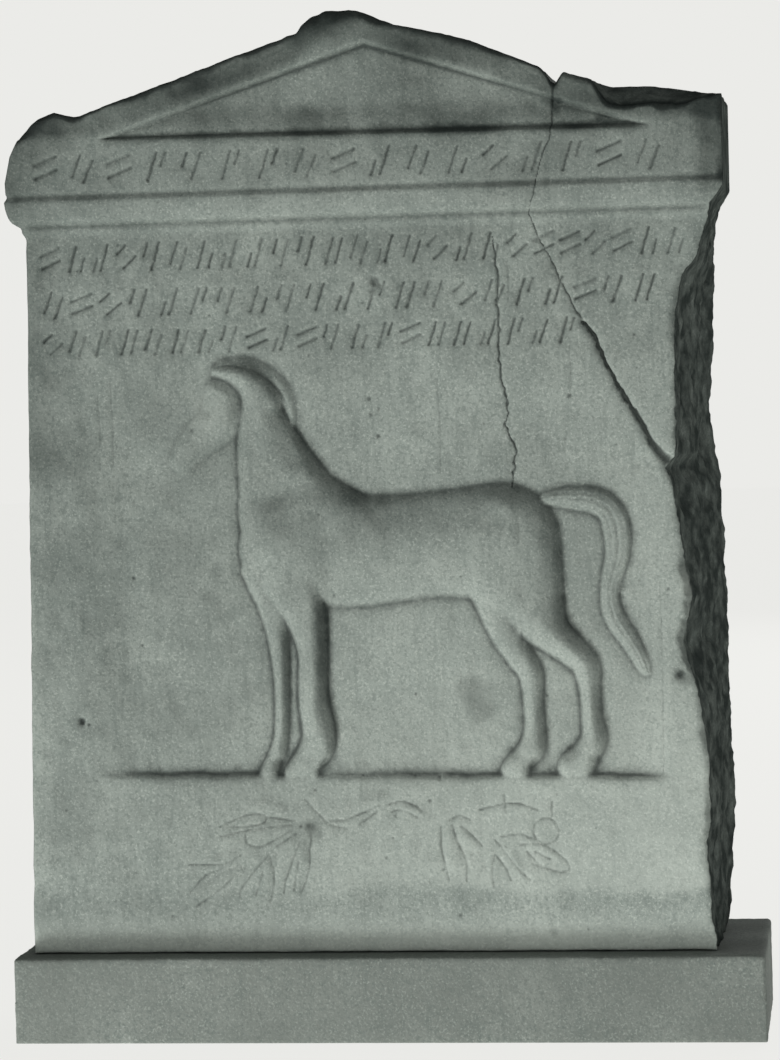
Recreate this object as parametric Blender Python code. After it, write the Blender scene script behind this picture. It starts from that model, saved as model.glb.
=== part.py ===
"""A small carved marble stele on its plinth: a tapering slab under a moulded crown and a
pediment, with a standing horse in low relief in a sunk field. The right side and the
right acroterion are broken away, and the upper right corner has been set back along an
old break."""

import bmesh
import bpy
import numpy as np
from mathutils import Vector, noise

# Sizes in metres. X runs to the right, Y into the stone and Z up, and the origin is the
# middle of the plinth's underside.

# Plinth
PLINTH_WIDTH = 0.341
PLINTH_DEPTH = 0.104
PLINTH_HEIGHT = 0.0392
PLINTH_ARRIS = 0.0018
SEAT_GAP = 0.0003

# Shaft
STELE_SHIFT = -0.0025
STELE_DEPTH = 0.080
FOOT_WIDTH = 0.322
NECK_WIDTH = 0.309
SHAFT_HEIGHT = 0.3262
SHAFT_ARRIS = 0.0024

# Crown: a quirked ovolo and a plain fascia, which return on both sides
OVOLO_HEIGHT = 0.0184
OVOLO_OUT = 0.0081
QUIRK_DEPTH = 0.0010
QUIRK_UP = 0.0048
FASCIA_HEIGHT = 0.0252
FASCIA_OUT = 0.0073
CROWN_ARRIS = 0.0012

# Pediment
GABLE_RISE = 0.0533
GABLE_SLOPE = 0.334
GABLE_SLOPE_RIGHT = 0.318
TYMPANUM_WIDTH = 0.2436
TYMPANUM_HEIGHT = 0.0395
TYMPANUM_SHIFT = 0.0033
TYMPANUM_DEPTH = 0.0038
TYMPANUM_DRAFT = 0.0008
APEX_STUMP_WIDTH = 0.043
APEX_STUMP_SHIFT = -0.0045
APEX_STUMP_WEAR = 0.0070
CORNER_STUMP_WIDTH = 0.0330
CORNER_WEAR = 0.0012
CORNER_STUMP_RISE = 0.0130
RAKE_SWELL = 0.0011
NOTCH_WIDTH = 0.0052
NOTCH_DEPTH = 0.0076
NOTCH_SHIFT = 0.0878

# Sunk field with the ledge that the horse stands on
LEDGE_HEIGHT = 0.0810
FIELD_DEPTH = 0.0046
FIELD_HEIGHT = 0.1930
FIELD_LEFT = 0.1380
FIELD_RIGHT = 0.1400
FIELD_FADE = 0.0260

# Horse: its own height from the ledge to the mane, and how far its parts stand out
HORSE_HEIGHT = 0.1894
TRUNK_RELIEF = 0.0056
NECK_RELIEF = 0.0050
NEAR_LEG_RELIEF = 0.0048
FAR_LEG_RELIEF = 0.0030
HEAD_RELIEF = 0.0014
MANE_RELIEF = 0.0024
TAIL_RELIEF = 0.0029
CREASE = 0.0008
RELIEF_SINK = 0.0008
RELIEF_CELL = 0.0014
RELIEF_TRIANGLES_KEPT = 0.047

# Leaf sprays below the ledge
LEAF_RELIEF = 0.0007
LEAF_LENGTH = 0.0200
LEAF_WIDTH = 0.0068
LEAF_CELL = 0.0019
LEAVES_LEFT = 0.0940
LEAVES_RIGHT = 0.0900
LEAVES_DOWN = 0.0660
LEAVES_TOP = 0.0080

# Breaks: how far the broken right side is cut back from the dressed side, in front and
# behind, how far it runs up past the shaft, and the broken top of the right acroterion
SIDE_BREAK_FRONT = 0.0160
SIDE_BREAK_BACK = 0.0052
SIDE_BREAK_RISE = 0.0038
SIDE_BREAK_ROUGHNESS = 0.0012
SIDE_BREAK_BULGE = 0.0008
TOP_BREAK_WIDTH = 0.0560
TOP_BREAK_FRONT = 0.0070
TOP_BREAK_DEPTH = 0.0220
TOP_BREAK_LIP = 0.0150
TOP_BREAK_CREST = 0.0205
TOP_BREAK_ROUGHNESS = 0.0010
JOINT_WIDTH = 0.0012
JOINT_DEPTH = 0.0016
JOINT_HEIGHT = 0.1766

FOOT_Z = PLINTH_HEIGHT + SEAT_GAP
OVOLO_Z = FOOT_Z + SHAFT_HEIGHT
FASCIA_Z = OVOLO_Z + OVOLO_HEIGHT
CORNICE_Z = FASCIA_Z + FASCIA_HEIGHT
LEDGE_Z = FOOT_Z + LEDGE_HEIGHT
FACE_Y = -STELE_DEPTH / 2
FASCIA_Y = FACE_Y - FASCIA_OUT
CROWN_HALF = NECK_WIDTH / 2 + FASCIA_OUT
SIDE_BREAK_HEIGHT = SHAFT_HEIGHT + SIDE_BREAK_RISE
OUTSIDE = 0.030


def clear_scene():
    for item in list(bpy.data.objects):
        bpy.data.objects.remove(item, do_unlink=True)


def stone(name, colour, roughness):
    material = bpy.data.materials.new(name)
    material.use_nodes = True
    shader = material.node_tree.nodes["Principled BSDF"]
    shader.inputs["Base Color"].default_value = (*colour, 1.0)
    shader.inputs["Roughness"].default_value = roughness
    shader.inputs["Metallic"].default_value = 0.0
    return material


def object_from(bm, name, material=None):
    bmesh.ops.recalc_face_normals(bm, faces=bm.faces[:])
    mesh = bpy.data.meshes.new(name)
    bm.to_mesh(mesh)
    bm.free()
    item = bpy.data.objects.new(name, mesh)
    bpy.context.collection.objects.link(item)
    if material:
        mesh.materials.append(material)
    return item


def guide(item):
    """Keeps a cutter or an operand out of the finished part."""
    item.hide_render = True
    item.display_type = "WIRE"
    return item


def combine(target, other, operation):
    step = target.modifiers.new(other.name, "BOOLEAN")
    step.operation = operation
    step.solver = "EXACT"
    step.object = guide(other)


def rounded(item, width, segments, angle=0.9):
    step = item.modifiers.new("worn arris", "BEVEL")
    step.width = width
    step.segments = segments
    step.limit_method = "ANGLE"
    step.angle_limit = angle


def prism(name, outline, near, far, material=None, draft=0.0):
    """An outline of (x, z) points at y = near, run back to y = far. With a draft the far
    outline is drawn in towards its middle by that much."""
    bm = bmesh.new()
    front = bm.faces.new([bm.verts.new((x, near, z)) for x, z in outline])
    made = bmesh.ops.extrude_face_region(bm, geom=[front])["geom"]
    middle = sum((Vector((x, 0, z)) for x, z in outline), Vector()) / len(outline)
    for vert in (part for part in made if isinstance(part, bmesh.types.BMVert)):
        inward = middle - Vector((vert.co.x, 0, vert.co.z))
        vert.co += inward.normalized() * draft
        vert.co.y = far
    return object_from(bm, name, material)


def stack(name, rings, material=None):
    """Rings of points, all with the same number of points, joined one above the other."""
    bm = bmesh.new()
    top = bm.faces.new([bm.verts.new(point) for point in rings[0]])
    for number, ring in enumerate(rings[1:]):
        made = bmesh.ops.extrude_face_region(bm, geom=[top])["geom"]
        if number:
            bm.faces.remove(top)
        top = next(part for part in made if isinstance(part, bmesh.types.BMFace))
        for vert, point in zip([loop.vert for loop in top.loops], ring):
            vert.co = point
    return object_from(bm, name, material)


def surface_block(name, columns, rows, near, far):
    """A closed block. Its near side is a grid whose points near(u, v) places, with u and
    v from 0 to 1, and its far side is the same grid as far(u, v) places it."""
    bm = bmesh.new()
    bmesh.ops.create_grid(bm, x_segments=columns, y_segments=rows, size=0.5)
    made = bmesh.ops.extrude_face_region(bm, geom=bm.faces[:])["geom"]
    behind = {part for part in made if isinstance(part, bmesh.types.BMVert)}
    shares = np.array([vert.co[:2] for vert in bm.verts]) + 0.5
    fronts = near(shares[:, 0], shares[:, 1])
    backs = far(shares[:, 0], shares[:, 1])
    for vert, front, back in zip(bm.verts, fronts, backs):
        vert.co = back if vert in behind else front
    return object_from(bm, name)


def between(low, high, share):
    return low + (high - low) * share


def fade(value, start, end):
    """0 at start, 1 at end and smooth between them."""
    share = np.clip((value - start) / (end - start), 0.0, 1.0)
    return share * share * (3.0 - 2.0 * share)


def rough(across, up, seed, grain):
    """A broken surface's unevenness, about -1 to 1."""
    points = zip(across / grain, up / grain)
    return np.array([noise.fractal(Vector((a, b, seed)), 0.6, 2.0, 3) for a, b in points])


# Shaft and crown


def half_width(z):
    """Half the shaft's dressed width at a height."""
    share = (z - FOOT_Z) / SHAFT_HEIGHT
    return between(FOOT_WIDTH, NECK_WIDTH, share) / 2


def crown_profile():
    """How far the ovolo stands out from the shaft at each height, from the quirk up."""
    quirk_z = OVOLO_Z + QUIRK_UP
    profile = [(0.0, OVOLO_Z), (OVOLO_OUT * 0.24, quirk_z - QUIRK_DEPTH * 0.8)]
    profile.append((OVOLO_OUT * 0.24 - QUIRK_DEPTH * 0.5, quirk_z))
    curved = OVOLO_HEIGHT - QUIRK_UP - QUIRK_DEPTH
    for step in range(5):
        angle = step / 4 * 1.40
        out = between(OVOLO_OUT * 0.34, OVOLO_OUT, np.sin(angle) / np.sin(1.40))
        up = curved * (1 - np.cos(angle)) / (1 - np.cos(1.40))
        profile.append((out, quirk_z + QUIRK_DEPTH * 0.8 + up))
    profile.append((FASCIA_OUT * 0.9, FASCIA_Z + QUIRK_DEPTH * 0.4))
    profile.append((FASCIA_OUT * 0.9, FASCIA_Z + FASCIA_HEIGHT * 0.3))
    return profile


def shaft_ring(half, out, z):
    """A level ring round the slab: worn front corners, square back corners."""
    side, front, back = half + out, FACE_Y - out, STELE_DEPTH / 2
    turn = SHAFT_ARRIS
    worn = [(0.0, 1.0), (0.3, 0.3), (1.0, 0.0)]
    left = [(-side + turn * a, front + turn * b) for a, b in worn]
    right = [(-x, y) for x, y in reversed(left)]
    plan = left + right + [(side, back), (-side, back)]
    return [(x + STELE_SHIFT, y, z) for x, y in plan]


def shaft_and_ovolo(material):
    rings = [shaft_ring(half_width(FOOT_Z), 0.0, FOOT_Z)]
    for out, z in crown_profile():
        rings.append(shaft_ring(NECK_WIDTH / 2, out, z))
    return stack("stele", rings, material)


# Pediment


def rake_z(x):
    """Height of the raking cornice's top over a place across the pediment."""
    slope = GABLE_SLOPE_RIGHT if x > 0 else GABLE_SLOPE
    return CORNICE_Z + GABLE_RISE - slope * abs(x)


def gable_outline():
    """Fascia and pediment from the front, clockwise from the lower left corner, with x
    from the stele's middle. The stumps of the acroteria are worn lumps, and the notch is
    where the set-back corner meets the rest."""
    left, right = CORNER_WEAR - CROWN_HALF, CROWN_HALF
    foot, top = FASCIA_Z - QUIRK_DEPTH * 0.4, CORNICE_Z + GABLE_RISE
    points = [(left, foot), (left, FASCIA_Z + FASCIA_HEIGHT * 0.25)]
    for across, up in ((0.06, -0.50), (0.15, 0.08), (0.30, 0.51), (0.45, 0.83), (0.66, 1.00),
                       (0.86, 0.85)):
        points.append((left + CORNER_STUMP_WIDTH * across, CORNICE_Z + CORNER_STUMP_RISE * up))
    points.append((left + CORNER_STUMP_WIDTH, CORNICE_Z + CORNER_STUMP_RISE * 0.83))
    points.append((left + CORNER_STUMP_WIDTH * 1.20, rake_z(left + CORNER_STUMP_WIDTH * 1.20)))
    half, middle = APEX_STUMP_WIDTH / 2, APEX_STUMP_SHIFT
    points.append((middle - half * 1.02, rake_z(middle - half * 1.02)))
    for across, down in ((-0.95, 0.74), (-0.75, 0.20), (-0.45, -0.07), (0.0, -0.13),
                         (0.35, 0.09), (0.70, 0.57), (1.0, 1.0)):
        points.append((middle + half * across, top - APEX_STUMP_WEAR * down))
    swell = (NOTCH_SHIFT + middle + half) / 2
    points.append((swell * 0.72, rake_z(swell * 0.72) + RAKE_SWELL * 0.6))
    points.append((swell, rake_z(swell) + RAKE_SWELL))
    lip = rake_z(NOTCH_SHIFT)
    for across, down in ((-1.23, 0.0), (-0.58, 0.46), (-0.25, 1.0), (0.27, 1.0), (0.54, 0.49),
                         (0.81, 0.33), (2.15, 0.60)):
        points.append((NOTCH_SHIFT + NOTCH_WIDTH * across, lip - NOTCH_DEPTH * down))
    for across, up in ((0.88, 2.36), (0.57, 2.31), (0.25, 1.92), (0.08, 1.60), (0.0, 1.54)):
        points.append((right - TOP_BREAK_WIDTH * across, CORNICE_Z + TOP_BREAK_FRONT * up))
    points.append((right, foot))
    return [(x + STELE_SHIFT, z) for x, z in points]


def gable():
    item = prism("fascia and gable", gable_outline(), FASCIA_Y, STELE_DEPTH / 2)
    rounded(item, CROWN_ARRIS, 2)
    return item


def tympanum():
    """The sunk triangle, a little smaller at its floor than at the face."""
    half = TYMPANUM_WIDTH / 2
    middle = STELE_SHIFT + TYMPANUM_SHIFT
    outline = [(middle - half, CORNICE_Z), (middle, CORNICE_Z + TYMPANUM_HEIGHT)]
    outline.append((middle + half, CORNICE_Z))
    ahead = TYMPANUM_DEPTH
    floor_y = FASCIA_Y + TYMPANUM_DEPTH
    return prism("tympanum", outline, FASCIA_Y - ahead, floor_y, draft=TYMPANUM_DRAFT)


# Sunk field


def field_depth(x, z):
    """How deep the ground behind the horse is cut below the slab's face. It is deepest at
    the ledge and runs out towards the sides and the inscription."""
    across = x - STELE_SHIFT
    up = (z - LEDGE_Z) / FIELD_HEIGHT
    left = fade(across, -FIELD_LEFT, -FIELD_LEFT + FIELD_FADE)
    right = fade(-across, -FIELD_RIGHT, -FIELD_RIGHT + FIELD_FADE)
    sunk = between(1.0, 0.78, np.clip(up / 0.75, 0, 1)) * (1.0 - fade(up, 0.72, 1.0))
    return FIELD_DEPTH * sunk * left * right


def field():
    margin = 0.1 * FIELD_DEPTH

    def spread(u, v):
        x = STELE_SHIFT + between(-FIELD_LEFT, FIELD_RIGHT, u)
        z = LEDGE_Z + FIELD_HEIGHT * v
        return x, z

    def floor(u, v):
        x, z = spread(u, v)
        return np.stack([x, FACE_Y + field_depth(x, z) - margin, z], axis=1)

    def ahead(u, v):
        x, z = spread(u, v)
        return np.stack([x, np.full_like(x, FACE_Y - OVOLO_OUT), z], axis=1)

    return surface_block("sunk field", 22, 16, floor, ahead)


# Horse, as chains of discs: (x, z, radius) in hundredths of its own height, with x from
# the middle of the stele and z from the ledge. It stands facing left.

TRUNK = ((-18.2, 54.3, 14.2), (-2.4, 53.0, 13.2), (15.0, 54.2, 12.5), (30.8, 54.4, 14.1))
NECK = ((-28.0, 93.6, 2.6), (-26.0, 88.5, 4.7), (-25.2, 82.5, 6.4), (-23.6, 75.6, 8.6),
        (-20.5, 66.5, 11.2), (-15.5, 60.0, 11.8), (-5.0, 55.5, 11.0))
POLL = ((-34.5, 97.5, 1.3), (-30.5, 97.2, 2.2), (-26.8, 94.6, 3.0), (-24.6, 90.5, 4.2))
HEAD = ((-35.0, 91.0, 4.3), (-35.8, 85.0, 5.2), (-42.0, 79.8, 4.3), (-45.3, 75.5, 3.3))
MANE = ((-35.0, 98.5, 1.2), (-29.8, 98.0, 2.2), (-24.2, 96.0, 2.5), (-20.4, 92.5, 2.6),
        (-18.0, 88.0, 2.4), (-16.4, 82.5, 2.0), (-14.0, 77.0, 1.4))
NEAR_FORE = ((-20.0, 46.0, 8.0), (-16.6, 37.5, 5.2), (-15.2, 29.0, 3.7), (-15.4, 18.5, 3.7),
             (-14.2, 10.0, 4.0), (-14.8, 6.2, 4.2), (-17.4, 2.6, 3.6), (-18.4, 0.2, 4.3))
FAR_FORE = ((-26.5, 47.0, 5.0), (-24.3, 37.5, 3.0), (-23.1, 28.0, 2.3), (-22.9, 18.5, 1.8),
            (-23.2, 10.0, 1.8), (-24.0, 5.8, 2.0), (-25.4, 3.0, 2.0), (-26.4, 0.0, 2.4))
NEAR_HIND = ((33.4, 47.0, 11.8), (38.0, 38.2, 7.5), (41.8, 32.9, 4.8), (47.6, 27.7, 3.7),
             (50.2, 24.6, 3.4), (50.9, 18.5, 2.6), (51.2, 12.5, 2.6), (51.6, 7.5, 3.2),
             (49.4, 3.6, 3.5), (47.2, 0.5, 4.4))
FAR_HIND = ((27.5, 44.0, 5.0), (30.5, 34.0, 3.8), (34.3, 27.5, 3.4), (37.0, 23.0, 3.0),
            (37.4, 16.0, 2.5), (37.6, 10.0, 2.6), (37.0, 5.8, 3.2), (34.2, 2.6, 2.9),
            (32.8, 0.2, 3.5))
TAIL = ((41.6, 64.6, 1.4), (47.0, 64.6, 2.4), (53.2, 63.8, 3.0), (56.8, 61.2, 3.1),
        (58.2, 56.6, 3.3), (58.2, 51.2, 2.9), (57.0, 46.8, 2.5), (55.9, 42.2, 1.8),
        (56.5, 37.4, 2.0), (58.4, 33.8, 1.8), (61.0, 30.0, 1.7), (63.2, 25.8, 1.5),
        (64.1, 23.6, 1.0))

# Each chain with its relief and how far in from its outline it rounds over, in
# hundredths of the horse's height
HORSE_PARTS = (
    (TRUNK, TRUNK_RELIEF, 10.0),
    (NECK, NECK_RELIEF, 7.0),
    (POLL, NECK_RELIEF, 2.5),
    (HEAD, HEAD_RELIEF, 3.5),
    (MANE, MANE_RELIEF, 1.6),
    (NEAR_FORE, NEAR_LEG_RELIEF, 3.5),
    (FAR_FORE, FAR_LEG_RELIEF, 2.0),
    (NEAR_HIND, NEAR_LEG_RELIEF, 3.4),
    (FAR_HIND, FAR_LEG_RELIEF, 2.6),
    (TAIL, TAIL_RELIEF, 2.2),
)


def inside_chain(x, z, chain):
    """How far a point lies inside the outline that the discs and the straight sides
    between them draw."""
    deepest = np.full(x.shape, -np.inf)
    for (x0, z0, r0), (x1, z1, r1) in zip(chain, chain[1:]):
        run = np.array([x1 - x0, z1 - z0])
        share = ((x - x0) * run[0] + (z - z0) * run[1]) / (run @ run)
        share = np.clip(share, 0.0, 1.0)
        away = np.hypot(x - x0 - share * run[0], z - z0 - share * run[1])
        deepest = np.maximum(deepest, between(r0, r1, share) - away)
    return deepest


def cushion(inside, reach):
    """Quarter-round rise from an outline to a flat top."""
    share = np.clip(inside / reach, 0.0, 1.0)
    return np.sqrt(1.0 - (1.0 - share) ** 2)


def melt(low, high):
    """The greater of two heights, with the crease between them softened."""
    blend = np.clip(0.5 + (high - low) / (2 * CREASE), 0.0, 1.0)
    soft = between(low, high, blend) + CREASE * blend * (1.0 - blend)
    return np.where(np.minimum(low, high) > 0, soft, np.maximum(low, high))


def horse_relief(x, z):
    """How far the horse stands out from the sunk field."""
    unit = HORSE_HEIGHT / 100
    across, up = (x - STELE_SHIFT) / unit, (z - LEDGE_Z) / unit
    height = np.zeros(x.shape)
    for chain, relief, reach in HORSE_PARTS:
        height = melt(height, relief * cushion(inside_chain(across, up, chain), reach))
    return height


def relief_sheet(name, left, right, low, high, ground, relief, cell=RELIEF_CELL):
    """A block inside the slab whose front comes out of the stone wherever relief does."""

    def spread(u, v):
        return between(left, right, u), between(low, high, v)

    def carved(u, v):
        x, z = spread(u, v)
        height = relief(x, z)
        rise = np.where(height > 0, height + RELIEF_SINK, 0.0)
        return np.stack([x, ground(x, z) + RELIEF_SINK - rise, z], axis=1)

    def behind(u, v):
        x, z = spread(u, v)
        return np.stack([x, np.full_like(x, FACE_Y + 3 * FIELD_DEPTH), z], axis=1)

    columns, rows = round((right - left) / cell), round((high - low) / cell)
    item = surface_block(name, columns, rows, carved, behind)
    step = item.modifiers.new("fewer faces", "DECIMATE")
    step.ratio = RELIEF_TRIANGLES_KEPT
    return item


def horse():
    unit = HORSE_HEIGHT / 100

    def ground(x, z):
        return FACE_Y + field_depth(x, z)

    return relief_sheet(
        "horse",
        STELE_SHIFT - 51 * unit,
        STELE_SHIFT + 68 * unit,
        LEDGE_Z - 0.2 * unit,
        LEDGE_Z + 102 * unit,
        ground,
        horse_relief,
    )


# Breaks


# The broken flank, from the foot up: a share of the height of the break, and how far it
# is cut back there in front and behind, as shares of the two depths
BROKEN_EDGE = (
    (-0.02, 0.6, 1.7),
    (0.04, 0.68, 1.02),
    (0.13, 0.76, 0.58),
    (0.19, 0.63, 0.38),
    (0.27, 0.62, 0.46),
    (0.34, 0.78, 0.34),
    (0.42, 1.17, 0.36),
    (0.48, 0.88, 0.42),
    (0.56, 1.12, 0.34),
    (0.63, 1.28, 0.44),
    (0.655, 1.48, 0.7),
    (0.67, 1.18, 0.82),
    (0.73, 1.14, 1.08),
    (0.82, 1.08, 0.72),
    (0.88, 0.97, 0.5),
    (0.915, 0.76, 0.3),
    (0.935, 0.4, 0.18),
    (0.98, 0.06, -0.06),
    (1.01, -0.12, -0.4),
    (1.06, -0.9, -2.6),
)


def side_break():
    """Everything to the right of the broken flank."""
    heights, fronts, backs = np.transpose(BROKEN_EDGE)

    def flank(u, v):
        z = FOOT_Z + between(-0.02, 1.06, v) * SIDE_BREAK_HEIGHT
        y = between(FACE_Y - OVOLO_OUT - 0.002, STELE_DEPTH / 2 + 0.002, u)
        share = (z - FOOT_Z) / SIDE_BREAK_HEIGHT
        front = half_width(z) - SIDE_BREAK_FRONT * np.interp(share, heights, fronts)
        back = half_width(z) - SIDE_BREAK_BACK * np.interp(share, heights, backs)
        bulge = SIDE_BREAK_BULGE * np.sin(np.pi * u)
        uneven = SIDE_BREAK_ROUGHNESS * rough(y, z, 3.7, 0.016)
        return np.stack([STELE_SHIFT + between(front, back, u) + bulge + uneven, y, z], axis=1)

    def outer(u, v):
        points = flank(u, v)
        points[:, 0] = STELE_SHIFT + FOOT_WIDTH / 2 + OUTSIDE
        return points

    return surface_block("side break", 7, 48, flank, outer)


def top_break():
    """The broken front of the right acroterion, sloping back from the cornice."""

    def slope(u, v):
        x = STELE_SHIFT + CROWN_HALF + between(-TOP_BREAK_WIDTH * 1.06, 0.006, u)
        along = between(0.0, 1.06, v)
        y = between(FASCIA_Y - 0.004, FASCIA_Y + TOP_BREAK_DEPTH * 1.06, v)
        dip = np.sin(np.pi * np.clip(u * 1.05, 0, 1)) ** 0.6
        low = CORNICE_Z + between(TOP_BREAK_LIP, TOP_BREAK_FRONT, dip)
        z = between(low, CORNICE_Z + TOP_BREAK_CREST, along ** 0.8)
        z += TOP_BREAK_ROUGHNESS * rough(x, y, 8.1, 0.012)
        return np.stack([x, y, z], axis=1)

    def above(u, v):
        points = slope(u, v)
        points[:, 2] = CORNICE_Z + GABLE_RISE
        return points

    return surface_block("top break", 14, 6, slope, above)


def front_y(x, z):
    """Where the undamaged front lies at a place."""
    if z < OVOLO_Z:
        return FACE_Y + float(field_depth(np.array(x), np.array(z)))
    if z < FASCIA_Z:
        outs, heights = zip(*crown_profile())
        return FACE_Y - float(np.interp(z, heights, outs))
    across = abs(x - STELE_SHIFT - TYMPANUM_SHIFT) / (TYMPANUM_WIDTH / 2)
    sunk = CORNICE_Z < z < CORNICE_Z + TYMPANUM_HEIGHT * (1 - across)
    return FASCIA_Y + TYMPANUM_DEPTH * sunk


# The old break: shares of the way down from the notch, how far right of the notch it is
# there, in metres, and its width in joint widths
JOINT_COURSE = (
    (0.04, 0.0005, 1.6),
    (0.075, -0.0006, 1.8),
    (0.14, -0.0012, 1.8),
    (0.19, -0.0030, 1.6),
    (0.26, -0.0080, 0.8),
    (0.36, -0.0129, 0.8),
    (0.40, -0.0108, 0.8),
    (0.49, -0.0032, 0.9),
    (0.64, 0.0099, 1.2),
    (0.73, 0.0182, 1.6),
    (0.84, 0.0286, 2.2),
    (0.95, 0.0393, 3.4),
    (1.0, 0.0455, 5.0),
    (1.03, 0.0540, 5.6),
)


def mended_joint():
    """The groove along the old break, from the notch down to the broken side."""
    top = rake_z(NOTCH_SHIFT)
    ahead = JOINT_DEPTH * 0.6
    downs, rights, widths = np.transpose(JOINT_COURSE)
    across = abs(NOTCH_SHIFT - TYMPANUM_SHIFT) / (TYMPANUM_WIDTH / 2)
    steps = [CORNICE_Z + TYMPANUM_HEIGHT * (1 - across), CORNICE_Z, FASCIA_Z]
    heights = {round(top - JOINT_HEIGHT * down, 6) for down in downs}
    heights |= {round(step + side, 6) for step in steps for side in (-0.0004, 0.0004)}
    heights |= {round(z, 6) for _, z in crown_profile()[::2]}
    rings = []
    for z in sorted(heights, reverse=True):
        down = (top - z) / JOINT_HEIGHT
        x = STELE_SHIFT + NOTCH_SHIFT + np.interp(down, downs, rights)
        face = front_y(x, z)
        half = JOINT_WIDTH * np.interp(down, downs, widths) / 2 * (1 + ahead / JOINT_DEPTH)
        deep = face + JOINT_DEPTH
        rings.append([(x - half, face - ahead, z), (x + half, face - ahead, z), (x, deep, z)])
    return stack("mended joint", rings)


# Leaf sprays below the ledge: each leaf is where its stalk ends, from the stele's middle
# and from the ledge down, the way it points in degrees from straight up, and its size

LEAVES = (
    (-0.0360, 0.0270, 186, 1.20),
    (-0.0390, 0.0270, 198, 1.25),
    (-0.0500, 0.0350, 194, 1.15),
    (-0.0610, 0.0430, 238, 1.35),
    (-0.0620, 0.0360, 246, 1.15),
    (-0.0380, 0.0240, 262, 1.30),
    (-0.0400, 0.0175, 280, 1.15),
    (0.0310, 0.0240, 172, 1.20),
    (0.0350, 0.0220, 150, 1.00),
    (0.0510, 0.0340, 182, 0.90),
    (0.0530, 0.0320, 142, 1.05),
    (0.0640, 0.0300, 118, 1.00),
    (0.0530, 0.0180, 84, 0.90),
    (-0.0100, 0.0170, 66, 0.95),
    (0.0080, 0.0150, 106, 0.80),
)


def leaf_relief(x, z):
    """How far the leaves stand out from the face."""
    height = np.zeros(x.shape)
    for across, down, turn, size in LEAVES:
        stalk = np.array([STELE_SHIFT + across, LEDGE_Z - down])
        way = np.array([np.sin(np.radians(turn)), np.cos(np.radians(turn))])
        places = [stalk + way * LEAF_LENGTH * size * share for share in (0.05, 0.35, 0.65, 0.95)]
        widths = [LEAF_WIDTH * size * share / 2 for share in (0.25, 0.95, 0.85, 0.12)]
        blade = [(*place, width) for place, width in zip(places, widths)]
        inside = inside_chain(x, z, blade)
        height = np.maximum(height, LEAF_RELIEF * cushion(inside, LEAF_WIDTH / 3))
    return height


def leaf_sprays():
    def ground(x, z):
        return np.full_like(x, FACE_Y)

    left, right = STELE_SHIFT - LEAVES_LEFT, STELE_SHIFT + LEAVES_RIGHT
    low, high = LEDGE_Z - LEAVES_DOWN, LEDGE_Z - LEAVES_TOP
    return relief_sheet("leaf sprays", left, right, low, high, ground, leaf_relief, LEAF_CELL)


# The two pieces of stone


def stele():
    marble = stone("weathered marble", (0.275, 0.309, 0.270), 0.78)
    item = shaft_and_ovolo(marble)
    combine(item, gable(), "UNION")
    combine(item, tympanum(), "DIFFERENCE")
    combine(item, field(), "DIFFERENCE")
    combine(item, horse(), "UNION")
    combine(item, leaf_sprays(), "UNION")
    combine(item, mended_joint(), "DIFFERENCE")
    combine(item, side_break(), "DIFFERENCE")
    combine(item, top_break(), "DIFFERENCE")
    return item


def plinth():
    marble = stone("plinth marble", (0.240, 0.272, 0.242), 0.80)
    half = PLINTH_WIDTH / 2
    outline = [(-half, 0.0), (half, 0.0), (half, PLINTH_HEIGHT), (-half, PLINTH_HEIGHT)]
    item = prism("plinth", outline, -PLINTH_DEPTH / 2, PLINTH_DEPTH / 2, marble)
    rounded(item, PLINTH_ARRIS, 3)
    return item


clear_scene()
stele()
plinth()
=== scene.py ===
# %% [markdown]
# # A carved marble stele on its plinth
#
# The real object is a slab of marble about as tall as a forearm. A mason squared it, cut a
# moulded crown and a small pediment on it, sank the ground round a standing horse, and
# set it on a low block. Since then the right side has broken away, the upper right corner
# has come off and been set back, and the whole face has weathered.
#
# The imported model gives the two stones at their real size. This lesson keeps that form and
# carves the fine surface: worn edges, the horse's muscles and hair, the rows of cut
# strokes, cracks, pits and dirt.

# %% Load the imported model
import itertools

import bmesh
import bpy
import numpy as np
from mathutils import Matrix, Vector, noise


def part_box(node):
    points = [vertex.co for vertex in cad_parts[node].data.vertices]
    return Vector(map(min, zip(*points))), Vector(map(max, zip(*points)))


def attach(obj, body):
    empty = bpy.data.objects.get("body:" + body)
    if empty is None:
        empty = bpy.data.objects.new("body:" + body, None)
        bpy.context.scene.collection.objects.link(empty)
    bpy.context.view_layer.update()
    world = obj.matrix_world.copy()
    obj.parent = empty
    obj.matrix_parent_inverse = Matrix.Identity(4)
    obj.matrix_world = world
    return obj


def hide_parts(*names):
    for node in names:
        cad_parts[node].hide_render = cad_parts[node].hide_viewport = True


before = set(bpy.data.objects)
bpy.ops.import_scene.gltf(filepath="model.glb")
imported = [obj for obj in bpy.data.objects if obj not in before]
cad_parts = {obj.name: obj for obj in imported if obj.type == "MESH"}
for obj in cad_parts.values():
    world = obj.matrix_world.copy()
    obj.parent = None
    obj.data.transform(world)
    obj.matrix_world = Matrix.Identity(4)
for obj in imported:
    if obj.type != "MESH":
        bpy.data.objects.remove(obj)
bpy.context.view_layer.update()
stele_low, stele_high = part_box("stele")
plinth_low, plinth_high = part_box("plinth")
scene = bpy.context.scene
print("stele", [round(1000 * side) for side in stele_high - stele_low], "mm")

# %% [markdown]
# ## Sizes
#
# A mason marks out the slab before cutting it. These are the same lines: heights are
# measured up from the ground, and everything across the slab is measured from the slab's
# own middle, which stands a little left of the plinth's. They are written in metres, and
# small depths in fractions of a millimetre.

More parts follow.
